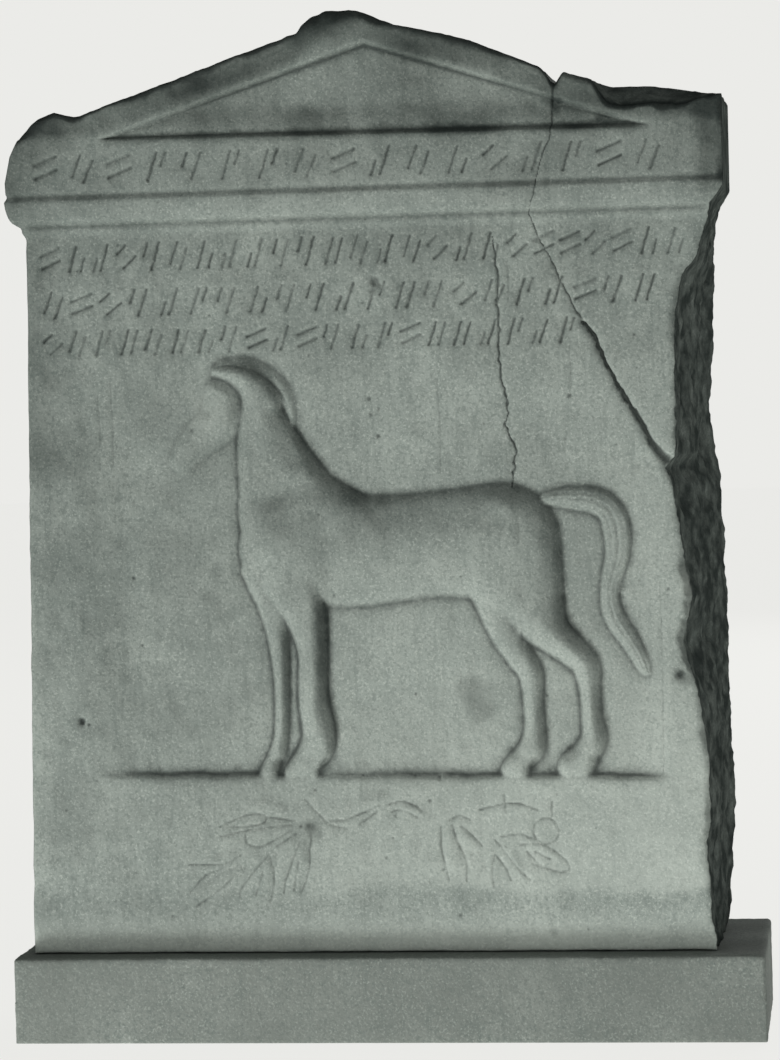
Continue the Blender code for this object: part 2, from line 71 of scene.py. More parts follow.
# %% Mark out the slab
MM = 0.001
STELE_MIDDLE = -2.5 * MM
FOOT_Z = stele_low.z
SHAFT_TOP = FOOT_Z + 326.2 * MM
FASCIA_Z = SHAFT_TOP + 18.4 * MM
CORNICE_Z = FASCIA_Z + 25.2 * MM
GABLE_TOP = CORNICE_Z + 53.3 * MM
LEDGE_Z = FOOT_Z + 81.0 * MM
FOOT_HALF = 161.0 * MM
NECK_HALF = 154.5 * MM
OVOLO_OUT = 8.1 * MM
FASCIA_OUT = 7.3 * MM
CROWN_HALF = NECK_HALF + FASCIA_OUT
FACE_Y = -40.0 * MM
BACK_Y = stele_high.y
FASCIA_Y = FACE_Y - FASCIA_OUT
print("cornice at", round(1000 * CORNICE_Z, 1), "mm")

# %% [markdown]
# ## Two small helpers and a noise
#
# Weathered stone has no straight line and no even tone, so nearly every step needs a
# gentle, repeatable unevenness. A grid of seeded random numbers, smoothed between its
# points, gives that, and it can be worked out for half a million points at once.


# %% Helpers for shaping
def between(low, high, share):
    return low + (high - low) * share


def fade(value, start, end):
    """0 at start, 1 at end and smooth between them."""
    share = np.clip((value - start) / (end - start), 0.0, 1.0)
    return share * share * (3.0 - 2.0 * share)


def bumps(x, y, z, size, seed):
    """Soft noise, about -1 to 1, whose bumps are one size across."""
    count = 32
    lattice = np.random.default_rng(seed).uniform(-1, 1, (count, count, count))
    places = [np.asarray(axis) / size for axis in (x, y, z)]
    corners = [np.floor(place).astype(int) for place in places]
    shares = [fade(place - corner, 0, 1) for place, corner in zip(places, corners)]
    total = 0.0
    for step in itertools.product((0, 1), repeat=3):
        weight, index = 1.0, []
        for side, share, corner in zip(step, shares, corners):
            weight = weight * (share if side else 1 - share)
            index.append((corner + side) % count)
        total = total + weight * lattice[tuple(index)]
    return total


def weathering(x, y, z, size, octaves, seed):
    """Noise with finer and fainter bumps laid over the coarse ones."""
    layers = (bumps(x, y, z, size / 2**n, seed + n) / 2**n for n in range(octaves))
    return sum(layers)


def average(field, cells):
    """Mean over a square of cells either way, by running sums."""
    window = 2 * cells + 1
    for axis in (0, 1):
        first, last = field.take([0], axis), field.take([-1], axis)
        padded = [np.repeat(first, cells + 1, axis), field, np.repeat(last, cells, axis)]
        total = np.concatenate(padded, axis).cumsum(axis)
        size = field.shape[axis]
        field = total.take(range(window, window + size), axis) - total.take(range(size), axis)
        field = field / window
    return field


print("noise sample", round(float(bumps(0.1, 0.2, 0.3, 0.01, 1)), 3))

# %% [markdown]
# ## The crown's profile
#
# Above the shaft come a quirked ovolo and a plain fascia, cut with one profile along the
# front and both ends. The profile is how far the stone stands out at each height. Narrow
# grooves, the quirks, part the members and hold the dark lines that draw the crown.


# %% The profile of the crown
QUIRK_Z = SHAFT_TOP + 4.8 * MM
QUIRK_WIDTH = 1.0 * MM
OVOLO_TURN = 1.40

angles = np.linspace(0, OVOLO_TURN, 9)
ovolo_rise = (1 - np.cos(angles)) / (1 - np.cos(OVOLO_TURN))
ovolo_z = between(QUIRK_Z + QUIRK_WIDTH, FASCIA_Z - QUIRK_WIDTH, ovolo_rise)
ovolo_out = between(0.34 * OVOLO_OUT, OVOLO_OUT, np.sin(angles) / np.sin(OVOLO_TURN))
profile_z = [SHAFT_TOP, QUIRK_Z - QUIRK_WIDTH, QUIRK_Z - 0.4 * QUIRK_WIDTH, *ovolo_z]
profile_out = [0.0, 0.24 * OVOLO_OUT, 0.10 * OVOLO_OUT, *ovolo_out]
profile_z += [FASCIA_Z, FASCIA_Z + 0.8 * QUIRK_WIDTH]
profile_out += [0.80 * FASCIA_OUT, FASCIA_OUT]


def moulding(z):
    """How far the crown stands out from the shaft at a height, its corners worn round."""
    steps = (-0.9 * MM, -0.3 * MM, 0.3 * MM, 0.9 * MM)
    return sum(np.interp(z + step, profile_z, profile_out) for step in steps) / len(steps)


print("profile of", len(profile_z), "points")

# %% [markdown]
# ## The outline
#
# The slab's outline is four lines: its foot, the dressed left side, the broken right side
# and the worn top. The right side leans back from the front to the rear, because the
# break runs slantwise through the slab, so that line also depends on the depth. The top
# keeps the stumps of the three acroteria and the notch where the old corner was set back.

# %% The left side and the broken right side
BREAK_HEIGHT = 330.0 * MM
BREAK_IN_FRONT = 16.0 * MM
BREAK_BEHIND = 5.2 * MM
CORNER_WEAR = 1.2 * MM
WORN_END = 0.4 * MM
STUMP_WIDTH = 33.0 * MM
STUMP_RISE = 13.0 * MM

# A share of the break's height, and how far it is cut back there in front and behind
BROKEN_EDGE = (
    (-0.02, 0.6, 1.7),
    (0.04, 0.68, 1.02),
    (0.13, 0.76, 0.58),
    (0.19, 0.63, 0.38),
    (0.27, 0.62, 0.46),
    (0.34, 0.78, 0.34),
    (0.42, 1.17, 0.36),
    (0.48, 0.88, 0.42),
    (0.56, 1.12, 0.34),
    (0.63, 1.28, 0.44),
    (0.655, 1.48, 0.7),
    (0.67, 1.18, 0.82),
    (0.73, 1.14, 1.08),
    (0.82, 1.08, 0.72),
    (0.88, 0.97, 0.5),
    (0.915, 0.76, 0.3),
    (0.935, 0.4, 0.18),
    (0.98, 0.06, -0.06),
    (1.01, -0.12, -0.4),
    (1.06, -0.9, -2.6),
)


def dressed_half(z):
    """Half the slab's width where its sides are whole."""
    shaft = between(FOOT_HALF, NECK_HALF, np.clip((z - FOOT_Z) / (SHAFT_TOP - FOOT_Z), 0, 1))
    return shaft + moulding(z)


def left_side(z):
    """The left side, which rounds in at the worn corner of the crown."""
    foot = CORNICE_Z - STUMP_RISE / 2
    corner = np.interp(z, [foot - 12 * MM, foot, CORNICE_Z], [0, 2.6 * MM, 5.6 * MM])
    return -dressed_half(z) + corner


def right_side(z, depth):
    """The right side at a height, and at a share of the way from the front to the back."""
    heights, fronts, backs = np.transpose(BROKEN_EDGE)
    share = (z - FOOT_Z) / BREAK_HEIGHT
    front = np.interp(share, heights, fronts) * BREAK_IN_FRONT
    back = np.interp(share, heights, backs) * BREAK_BEHIND
    half = between(FOOT_HALF, NECK_HALF, (z - FOOT_Z) / (SHAFT_TOP - FOOT_Z))
    y = between(FACE_Y - moulding(z), BACK_Y, depth)
    uneven = [noise.fractal(Vector((a, b, 3.7)), 0.6, 2.0, 3) for a, b in
              zip(y.ravel() / 0.016, z.ravel() / 0.016)]
    broken = half - between(front, back, depth) + 0.9 * MM * np.reshape(uneven, z.shape)
    broken -= 0.5 * MM * np.abs(weathering(0.0, y, z, 4 * MM, 2, 6))
    broken += 0.8 * MM * np.sin(np.pi * depth)
    whole = np.minimum(dressed_half(z), CROWN_HALF - WORN_END)
    return np.where(share > 1.06, whole, np.minimum(broken, whole))


side_z = np.linspace(FOOT_Z, CORNICE_Z, 500)
print("left side at the foot", round(1000 * float(left_side(FOOT_Z)), 1), "mm")

# %% The worn top
NOTCH_X = 87.8 * MM
NOTCH_WIDTH = 5.2 * MM
NOTCH_DEPTH = 7.6 * MM
APEX_X = -4.5 * MM
APEX_HALF = 21.5 * MM
APEX_WEAR = 7.0 * MM
TOP_BREAK_WIDTH = 56.0 * MM
TOP_BREAK_DEPTH = 22.0 * MM
# The broken top's height above the cornice, in front at its ends and middle, and behind
BREAK_HIGH, BREAK_LOW, BREAK_REAR = 11.5 * MM, 2.5 * MM, 20.5 * MM


def rake(x):
    """Height of the raking cornice's top."""
    return GABLE_TOP - np.where(x > 0, 0.318, 0.334) * np.abs(x)


def top_line():
    """The outline of the top from left to right, as places across and heights."""
    left, right = CORNER_WEAR - CROWN_HALF, CROWN_HALF
    line = [(left + STUMP_WIDTH * a, CORNICE_Z + STUMP_RISE * b) for a, b in
            ((0.15, 0.08), (0.22, 0.34), (0.30, 0.54), (0.45, 0.83), (0.66, 1.00), (0.86, 0.85),
             (1.0, 0.83))]
    line.append((left + 1.2 * STUMP_WIDTH, rake(left + 1.2 * STUMP_WIDTH)))
    line.append((APEX_X - 1.02 * APEX_HALF, rake(APEX_X - 1.02 * APEX_HALF)))
    line += [(APEX_X + APEX_HALF * a, GABLE_TOP - APEX_WEAR * b) for a, b in
             ((-0.95, 0.74), (-0.75, 0.20), (-0.45, -0.07), (0.0, -0.13), (0.35, 0.09),
              (0.70, 0.57), (1.0, 1.0))]
    swell = (NOTCH_X + APEX_X + APEX_HALF) / 2
    line += [(swell * 0.72, rake(swell * 0.72) + 0.7 * MM), (swell, rake(swell) + 1.1 * MM)]
    line += [(NOTCH_X + NOTCH_WIDTH * a, rake(NOTCH_X) - NOTCH_DEPTH * b) for a, b in
             ((-1.23, 0.0), (-0.58, 0.46), (-0.25, 1.0), (0.27, 1.0), (0.54, 0.49), (0.81, 0.33),
              (2.15, 0.60))]
    line += [(right - TOP_BREAK_WIDTH * a, CORNICE_Z + 7.0 * MM * b) for a, b in
             ((0.88, 2.36), (0.57, 2.31), (0.25, 1.92), (0.08, 1.60), (0.0, 1.54))]
    return np.transpose(line)


def top(x, depth):
    """Height of the top at a place across and a share of the way to the back."""
    places, heights = top_line()
    line = sum(np.interp(x + step * MM, places, heights) for step in (-0.6, 0, 0.6)) / 3
    y = between(FASCIA_Y, BACK_Y, depth)
    across = np.clip((x - CROWN_HALF + 1.06 * TOP_BREAK_WIDTH) / (1.17 * TOP_BREAK_WIDTH), 0, 1)
    dip = np.sin(np.pi * np.clip(across * 1.05, 0, 1)) ** 0.6
    along = (y - FASCIA_Y + 4 * MM) / (TOP_BREAK_DEPTH * 1.06 + 4 * MM)
    front_edge = CORNICE_Z + between(BREAK_HIGH, BREAK_LOW, dip)
    broken = between(front_edge, CORNICE_Z + BREAK_REAR, np.clip(along, 0, 2) ** 0.8)
    broken += 1.5 * MM * weathering(x, y, 0.0, 9 * MM, 3, 81) + 9 * MM * fade(across, 0.14, 0)
    line = np.where(across > 0, np.minimum(line, broken), line)
    return line - 0.5 * MM * np.abs(weathering(x, y, 0.3, 7 * MM, 3, 11))


print("top line of", len(top_line()[0]), "points")

# %% [markdown]
# ## A block to carve
#
# The carving is a matter of depth at each place on the front, so the stone starts as a
# closed block with a very fine grid in front. The front is a grid, the same grid extruded
# is the back, and the edges between them are cut into courses. Then only the cells of the
# front, and of the right side that broke away, are divided again. It is made as a unit
# block first, and after that every corner is told its place.


# %% A closed block with a finer front
def unit_block(name, columns, rows, courses, finer):
    """A block from 0 to 1 each way. Its front, at y = 0, and its right side, at x = 1, have
    cells that much finer."""
    bm = bmesh.new()
    bmesh.ops.create_grid(bm, x_segments=columns, y_segments=rows, size=0.5)
    upright = Matrix.Rotation(np.pi / 2, 3, "X")
    bmesh.ops.rotate(bm, verts=bm.verts, cent=(0, 0, 0), matrix=upright)
    bmesh.ops.translate(bm, verts=bm.verts, vec=(0.5, 0, 0.5))
    made = bmesh.ops.extrude_face_region(bm, geom=bm.faces[:])["geom"]
    behind = [part for part in made if isinstance(part, bmesh.types.BMVert)]
    bmesh.ops.translate(bm, verts=behind, vec=(0, 1, 0))
    deep = [edge for edge in bm.edges if abs(edge.verts[0].co.y - edge.verts[1].co.y) > 0.5]
    bmesh.ops.subdivide_edges(bm, edges=deep, cuts=courses - 1)
    shown = [edge for edge in bm.edges if max(vert.co.y for vert in edge.verts) < 0.001
             or min(vert.co.x for vert in edge.verts) > 0.999]
    bmesh.ops.subdivide_edges(bm, edges=shown, cuts=finer - 1, use_grid_fill=True)
    bmesh.ops.recalc_face_normals(bm, faces=bm.faces[:])
    mesh = bpy.data.meshes.new(name)
    bm.to_mesh(mesh)
    bm.free()
    return mesh


def corners_of(mesh):
    """The places of a mesh's corners, one row each."""
    numbers = np.empty(len(mesh.vertices) * 3, np.float32)
    mesh.vertices.foreach_get("co", numbers)
    return numbers.reshape(-1, 3).astype(float)


def place_corners(mesh, places):
    mesh.vertices.foreach_set("co", places.astype(np.float32).ravel())


COLUMNS, ROWS, COURSES, FINER = 160, 184, 36, 4
block_mesh = unit_block("stele carved", COLUMNS, ROWS, COURSES, FINER)
print("block with", len(block_mesh.vertices), "corners")

# %% [markdown]
# ## Where the block's corners go
#
# The rows of the grid lie level up to the cornice, closer together where the inscription
# is, and above it they fan out under the gable. The columns run from the left side to the
# right one.


# %% Rows and columns over the slab
FINE_ROWS, FINE_COLUMNS = ROWS * FINER, COLUMNS * FINER
ROW_PLAN = ((0.0, FOOT_Z), (0.54, 311 * MM), (0.86, CORNICE_Z), (1.0, GABLE_TOP))
CORNICE_SHARE = ROW_PLAN[2][0]


def spread(across, up, depth, right):
    """Turns shares of the block into places on the slab, given its right side there."""
    shares, heights = np.transpose(ROW_PLAN)
    z = np.interp(np.minimum(up, CORNICE_SHARE), shares, heights)
    x = between(left_side(z), right, across)
    over = np.clip((up - CORNICE_SHARE) / (1 - CORNICE_SHARE), 0, 1)
    return x, between(z, top(x, depth), over)


ups = np.linspace(0, 1, FINE_ROWS + 1)
row_z = np.interp(np.minimum(ups, CORNICE_SHARE), *np.transpose(ROW_PLAN))
front_right = right_side(row_z, np.zeros_like(row_z))
share_x, share_z = np.meshgrid(np.linspace(0, 1, FINE_COLUMNS + 1), ups)
x, z = spread(share_x, share_z, np.zeros_like(share_x), front_right[:, None])
print("finest cell", round(1000 * float(x[0, 1] - x[0, 0]), 2), "mm")

# %% [markdown]
# ## The sunk field and the pediment's floor
#
# The ground round the horse is cut back most at the ledge it stands on, and runs out
# towards the sides and the inscription. The ledge falls a little to the right. The
# tympanum is a sunk triangle. Their edges are soft with wear, so both are blended over
# about a millimetre, and the angle above each floor line was never cut quite to depth.
# A line is scored under the raking cornice.

# %% Sink the field and the tympanum
FIELD_DEPTH = 4.6 * MM
FIELD_HEIGHT = 193.0 * MM
FIELD_LEFT, FIELD_RIGHT = -138.0 * MM, 140.0 * MM
LEDGE_SLOPE = 0.0134
TYMPANUM_X = 3.3 * MM
TYMPANUM_HALF = 121.8 * MM
TYMPANUM_RISE = 39.5 * MM
TYMPANUM_DEPTH = 3.8 * MM
TYMPANUM_SLOPE = 0.008
SCORE_DEPTH = 0.55 * MM

ledge = LEDGE_Z - LEDGE_SLOPE * (x + 125 * MM) + 0.5 * MM * bumps(x, 0.0, 0.0, 5 * MM, 17)
up_field = (z - ledge) / FIELD_HEIGHT
field = between(1.0, 0.78, np.clip(up_field / 0.75, 0, 1)) * (1 - fade(up_field, 0.72, 1.0))
field *= fade(x, FIELD_LEFT, FIELD_LEFT + 30 * MM)
field *= 1 - fade(x, FIELD_RIGHT - 26 * MM, FIELD_RIGHT)
silted = between(0.32, 0.52, fade(bumps(x, 0.0, 0.0, 22 * MM, 18), -0.5, 0.5))
field *= fade(z - ledge, -0.4 * MM, 0.6 * MM)
field *= between(silted, 1, fade(z - ledge, -8 * MM, 45 * MM))

aside = np.abs(x - TYMPANUM_X) / TYMPANUM_HALF
under_rake = CORNICE_Z + TYMPANUM_RISE * (1 - aside) - z
over_floor = z - CORNICE_Z + TYMPANUM_SLOPE * (x + TYMPANUM_HALF)
tympanum = fade(over_floor, -0.7 * MM, 0.9 * MM) * fade(under_rake, -0.6 * MM, 2.2 * MM)
tympanum *= between(0.5, 1, fade(over_floor, 0, 14 * MM))
scored = np.exp(-(((under_rake - 1.4 * MM) / (0.8 * MM)) ** 2)) * (over_floor > 0)

front = FACE_Y - moulding(z) + FIELD_DEPTH * field + TYMPANUM_DEPTH * tympanum
front += SCORE_DEPTH * scored
print("front from", round(1000 * front.min(), 1), "to", round(1000 * front.max(), 1), "mm")

# %% [markdown]
# ## The horse
#
# A relief is drawn first as an outline on the slab, and then the ground is cut away and
# the forms rounded. Here each part of the animal is a chain of discs drawn as a smooth
# curve, and the stone swells from the chain's outline to the height of that part. The
# belly and the neck swell over nearly their whole width, which is what shades them so
# softly. Overlapping parts melt into each other with a soft crease. The chains are in
# hundredths of the horse's height, from the middle of the slab and up from the ledge.

# %% The horse's parts
HORSE_HEIGHT = 189.4 * MM
UNIT = HORSE_HEIGHT / 100
CREASE = 0.8 * MM

TRUNK = ((-18.2, 54.3, 14.2), (-2.4, 53.0, 13.2), (15.0, 54.2, 12.5), (30.8, 54.4, 14.1))
NECK = ((-28.0, 93.6, 2.6), (-26.0, 88.5, 4.7), (-25.2, 82.5, 6.4), (-23.6, 75.6, 8.6),
        (-20.5, 66.5, 11.4), (-17.6, 60.5, 13.4), (-5.0, 55.5, 11.0))
POLL = ((-36.2, 96.6, 1.4), (-31.5, 95.8, 2.9), (-27.6, 93.2, 4.0), (-25.2, 89.0, 5.0))
HEAD = ((-35.0, 91.0, 4.3), (-35.8, 85.0, 5.2), (-42.0, 79.8, 4.3), (-45.3, 75.5, 3.3))
MANE = ((-35.4, 98.3, 1.0), (-29.8, 98.0, 1.8), (-24.6, 95.8, 2.1), (-20.9, 92.3, 2.1),
        (-18.9, 88.0, 1.5), (-18.2, 83.6, 0.6))
NEAR_FORE = ((-20.0, 46.0, 8.0), (-16.6, 37.5, 5.2), (-15.2, 29.0, 3.7), (-15.4, 18.5, 3.7),
             (-14.2, 10.0, 4.0), (-14.8, 6.2, 4.2), (-17.4, 2.6, 3.6), (-18.4, 0.2, 4.3))
FAR_FORE = ((-25.6, 49.0, 6.4), (-24.2, 38.5, 3.4), (-23.1, 28.0, 2.3), (-22.9, 18.5, 1.8),
            (-23.2, 10.0, 1.8), (-24.0, 5.8, 2.0), (-25.4, 3.0, 2.0), (-26.4, 0.0, 2.4))
NEAR_HIND = ((31.0, 54.0, 13.7), (33.2, 47.4, 11.9), (38.0, 38.2, 7.5), (41.8, 32.9, 4.8),
             (47.6, 27.7, 3.7), (50.2, 24.6, 3.4), (50.9, 18.5, 2.6), (51.2, 12.5, 2.6),
             (51.6, 7.5, 3.2), (49.4, 3.6, 3.5), (47.2, 0.5, 4.4))
FAR_HIND = ((27.5, 44.0, 5.0), (30.5, 34.0, 3.8), (34.3, 27.5, 3.4), (37.0, 23.0, 3.0),
            (37.4, 16.0, 2.5), (37.6, 10.0, 2.6), (37.0, 5.8, 3.2), (34.2, 2.6, 2.9),
            (32.8, 0.2, 3.5))
TAIL = ((41.6, 64.6, 1.4), (47.0, 64.6, 2.4), (53.2, 63.8, 3.0), (56.8, 61.2, 3.1),
        (58.2, 56.6, 3.3), (58.2, 51.2, 2.9), (57.0, 46.8, 2.5), (56.1, 42.2, 2.2),
        (56.7, 37.4, 2.4), (58.5, 33.8, 2.4), (61.0, 30.0, 2.2), (63.2, 25.8, 1.9),
        (64.1, 23.6, 1.3))

# Each chain with its relief in millimetres and how far in it rounds over, in units
HORSE_PARTS = (
    (TRUNK, 5.6, 13.0),
    (NECK, 5.0, 8.0),
    (POLL, 4.2, 4.0),
    (HEAD, 2.2, 4.6),
    (MANE, 1.0, 1.4),
    (NEAR_FORE, 4.8, 4.2),
    (FAR_FORE, 2.8, 2.6),
    (NEAR_HIND, 5.2, 7.0),
    (FAR_HIND, 3.0, 3.2),
    (TAIL, 1.8, 1.2),
)
print("horse of", len(HORSE_PARTS), "chains")


# %% From a chain of discs to a swelling form
def smooth_chain(chain, steps=4):
    """More discs between the given ones, on a curve through all of them."""
    discs = np.array(chain)
    before, after = 2 * discs[0] - discs[1], 2 * discs[-1] - discs[-2]
    ring = np.vstack([before, discs, after])
    curve = []
    for p0, p1, p2, p3 in zip(ring, ring[1:], ring[2:], ring[3:]):
        for t in np.arange(steps) / steps:
            curve.append(0.5 * (2 * p1 + (p2 - p0) * t + (2 * p0 - 5 * p1 + 4 * p2 - p3) * t**2
                                + (3 * p1 - p0 - 3 * p2 + p3) * t**3))
    return curve + [discs[-1]]


def along_chain(x, z, chain):
    """How far inside the chain's outline a point is, and its side of the middle line as a
    share of the half width, positive on the right hand going along the chain."""
    inside, side = np.full(x.shape, -np.inf), np.zeros(x.shape)
    for (x0, z0, r0), (x1, z1, r1) in zip(chain, chain[1:]):
        run_x, run_z = x1 - x0, z1 - z0
        length = run_x**2 + run_z**2
        share = np.clip(((x - x0) * run_x + (z - z0) * run_z) / length, 0, 1)
        away_x, away_z = x - x0 - share * run_x, z - z0 - share * run_z
        half = between(r0, r1, share)
        here = half - np.hypot(away_x, away_z)
        offset = (away_x * run_z - away_z * run_x) / np.sqrt(length) / half
        side = np.where(here > inside, offset, side)
        inside = np.maximum(inside, here)
    return inside, side


def swelling(inside, reach):
    """A rise from 0 at the outline to 1 where the form is full, steepest at the outline."""
    share = np.clip(inside / reach, 0, 1)
    return (1 - (1 - share) ** 2) ** 0.8


def melt(low, high):
    """The greater of two heights, with the crease between them softened."""
    blend = np.clip(0.5 + (high - low) / (2 * CREASE), 0, 1)
    soft = between(low, high, blend) + CREASE * blend * (1 - blend)
    return np.where(np.minimum(low, high) > 0, soft, np.maximum(low, high))


print("neck of", len(smooth_chain(NECK)), "discs")

# %% Raise the horse
across, above = x / UNIT, (z - LEDGE_Z) / UNIT
body = (np.abs(across - 7) < 62) & (above > -3) & (above < 103)
hx, hz = across[body], above[body]
horse = np.zeros(hx.shape)
outline = np.full(hx.shape, -np.inf)
for chain, relief, reach in HORSE_PARTS:
    inside, _ = along_chain(hx, hz, smooth_chain(chain))
    if chain is not HEAD:
        outline = np.maximum(outline, inside)
    horse = melt(horse, relief * MM * swelling(inside, reach))
print("horse stands out", round(1000 * horse.max(), 1), "mm")

# %% [markdown]
# ## Muscle, mane and tail
#
# The broad forms are softly modelled: a hollow behind the shoulder, the thigh, the
# stifle, the jaw. They are gentle swellings and hollows laid over the relief. After the
# whole has been worn soft, the mane and the tail are combed with a few long grooves that
# follow their chains.

# %% Model the muscles
# Where each swelling is, its two half widths in units, its turn in degrees and its height
# in millimetres, less than nothing for a hollow
MUSCLES = (
    (-25.0, 55.0, 6.0, 7.0, 20, 1.4),
    (-22.0, 66.5, 8.0, 2.8, 16, -1.3),
    (-27.0, 77.5, 2.4, 2.6, 0, -0.6),
    (-17.5, 80.0, 1.6, 9.0, 18, 0.5),
    (-29.6, 74.0, 1.0, 14.0, -4, 0.5),
    (-15.5, 45.0, 3.6, 6.0, 0, 0.6),
    (-10.4, 48.0, 2.0, 8.0, 0, -1.0),
    (0.0, 49.0, 7.0, 6.5, 0, 0.5),
    (10.0, 61.5, 16.0, 3.0, -2, -0.4),
    (20.5, 49.0, 3.0, 7.0, 20, -0.7),
    (31.0, 54.0, 7.5, 8.0, 0, 0.7),
    (31.5, 64.0, 5.0, 2.2, -25, 0.4),
    (36.0, 37.0, 2.0, 8.0, 32, 0.6),
    (-14.6, 24.0, 1.1, 9.0, 0, 0.35),
    (50.4, 15.0, 0.9, 8.0, 0, 0.35),
    (-34.5, 84.0, 4.0, 4.6, -38, 0.8),
    (-36.6, 92.4, 4.6, 1.0, -22, 0.7),
    (-43.5, 77.5, 2.6, 1.6, -48, 0.4),
    (-38.6, 86.6, 1.4, 1.0, 0, -0.5),
    (-45.6, 76.0, 0.9, 0.7, 0, -0.4),
)

for place_x, place_z, wide, high, turn, rise in MUSCLES:
    cos, sin = np.cos(np.radians(turn)), np.sin(np.radians(turn))
    a = ((hx - place_x) * cos + (hz - place_z) * sin) / wide
    b = ((hz - place_z) * cos - (hx - place_x) * sin) / high
    horse += rise * MM * np.exp(-(a * a + b * b)) * fade(horse, 0, 1.0 * MM)

over_ledge = (z - ledge)[body]
room = FIELD_DEPTH * field[body] + between(0.5, 5.0, fade(over_ledge, 2 * MM, 55 * MM)) * MM
horse = np.minimum(horse, room) * fade(over_ledge, -0.2 * MM, 0.8 * MM)
front[body] -= horse
print("modelled", len(MUSCLES), "swellings and hollows")

# %% Cut the ground down towards the outline, mark the hooves and wear it all soft
DITCH_DEPTH, HOOF_LINE_DEPTH = 0.45, 0.4
# The top edge of each hoof: its middle and half width in units
HOOVES = ((-17.6, 4.6, 4.4), (-25.0, 3.6, 2.8), (48.6, 4.8, 4.6), (33.6, 4.4, 3.6))

ditch = np.exp(-((np.minimum(outline, 0) / 1.7) ** 2)) * fade(outline, 1.6, 0)
crease = np.exp(-(((outline + 0.15) / 0.3) ** 2))
lit_side = fade(np.gradient(average(front, 2), axis=1)[body], -0.01 * MM, -0.12 * MM)
away_from_foot = fade((z - ledge)[body], 0, 4 * MM)
lined = between(0.06, 0.34, lit_side) * crease
front[body] += (DITCH_DEPTH * ditch + lined) * MM * away_from_foot
for hoof_x, hoof_z, wide in HOOVES:
    slanted = (hz - hoof_z) + 0.35 * (hx - hoof_x)
    coronet = np.exp(-((slanted / 0.55) ** 2)) * fade(np.abs(hx - hoof_x), wide, 0.6 * wide)
    front[body] += HOOF_LINE_DEPTH * MM * coronet
front = average(average(front, 1), 1)
print("ground cut down by", round(float(DITCH_DEPTH * ditch.max()), 2), "mm")

# %% Comb the mane and the tail
# Each chain, where its grooves run across it, and their depth in millimetres
COMBED = ((MANE, (0.3,), 0.30), (TAIL, (-0.5, 0.0, 0.5), 0.55))

for chain, combs, deep in COMBED:
    inside, side = along_chain(hx, hz, smooth_chain(chain))
    for comb in combs:
        groove = np.exp(-(((side - comb) / 0.17) ** 2)) * fade(inside, 0, 0.6)
        front[body] += deep * MM * groove * fade(horse, 0.2 * MM, 0.9 * MM)
print("combed", len(hx), "points")

# %% [markdown]
# ## Leaf sprays and rows of cut strokes
#
# Below the ledge are two faint sprays of leaves and a garland between them. Each leaf is
# a low blade, drawn round with a scratched line. The inscription is not copied: its four
# rows keep their places, heights and spacing, and hold shallow strokes that spell
# nothing. One function cuts a worn V along any line.


# %% Cutting a groove
def cut(course, deep, ragged=0.0, flat=0.15):
    """Cuts a groove into the front along (x, z, width) points in millimetres."""
    bend = ragged * MM
    for (x0, z0, w0), (x1, z1, w1) in itertools.pairwise(np.array(course) * MM):
        reach = max(w0, w1) / 2 + bend
        near = (x > min(x0, x1) - reach) & (x < max(x0, x1) + reach)
        near &= (z > min(z0, z1) - reach) & (z < max(z0, z1) + reach)
        if not near.any():
            continue
        px, pz = x[near], z[near]
        if ragged:
            px = px + bend * bumps(px, 0.0, pz, 2.2 * MM, 5)
        run = np.array([x1 - x0, z1 - z0])
        share = np.clip(((px - x0) * run[0] + (pz - z0) * run[1]) / (run @ run), 0, 1)
        away = np.hypot(px - x0 - share * run[0], pz - z0 - share * run[1])
        half = between(w0, w1, share) / 2
        groove = deep * MM * (1 - fade(away / half, flat, 1.0))
        cuts[near] = np.maximum(cuts[near], groove)


cuts = np.zeros_like(front)
print("room for cuts at", cuts.size, "points")

# %% Leaves: where each stalk ends from the middle and below the ledge, its turn and size
LEAF_LENGTH, LEAF_WIDTH, LEAF_RELIEF = 20.0 * MM, 6.8 * MM, 0.4 * MM
LEAVES = (
    (-36.0, 27.0, 186, 1.20),
    (-39.0, 27.0, 198, 1.25),
    (-50.0, 35.0, 194, 1.15),
    (-61.0, 43.0, 238, 1.35),
    (-62.0, 36.0, 246, 1.15),
    (-38.0, 24.0, 262, 1.30),
    (-40.0, 17.5, 280, 1.15),
    (31.0, 24.0, 172, 1.20),
    (35.0, 22.0, 150, 1.00),
    (51.0, 34.0, 182, 0.90),
    (53.0, 32.0, 142, 1.05),
    (64.0, 30.0, 118, 1.00),
    (53.0, 18.0, 84, 0.90),
    (-10.0, 17.0, 66, 0.95),
    (8.0, 15.0, 106, 0.80),
)

low = (z < LEDGE_Z) & (z > LEDGE_Z - 75 * MM) & (np.abs(x) < 100 * MM)
lx, lz = x[low], z[low]
leaves = np.zeros(lx.shape)
for place, down, turn, size in LEAVES:
    way = np.array([np.sin(np.radians(turn)), np.cos(np.radians(turn))])
    stalk = np.array([place * MM, LEDGE_Z - down * MM])
    spine = [stalk + way * LEAF_LENGTH * size * share for share in (0.05, 0.35, 0.65, 0.95)]
    halves = [LEAF_WIDTH * size * share / 2 for share in (0.25, 0.95, 0.85, 0.12)]
    chain = [(*point, half) for point, half in zip(spine, halves)]
    inside, _ = along_chain(lx, lz, smooth_chain(chain))
    leaves = np.maximum(leaves, LEAF_RELIEF * swelling(inside, LEAF_WIDTH / 2))
front[low] -= leaves
print(len(LEAVES), "leaves")

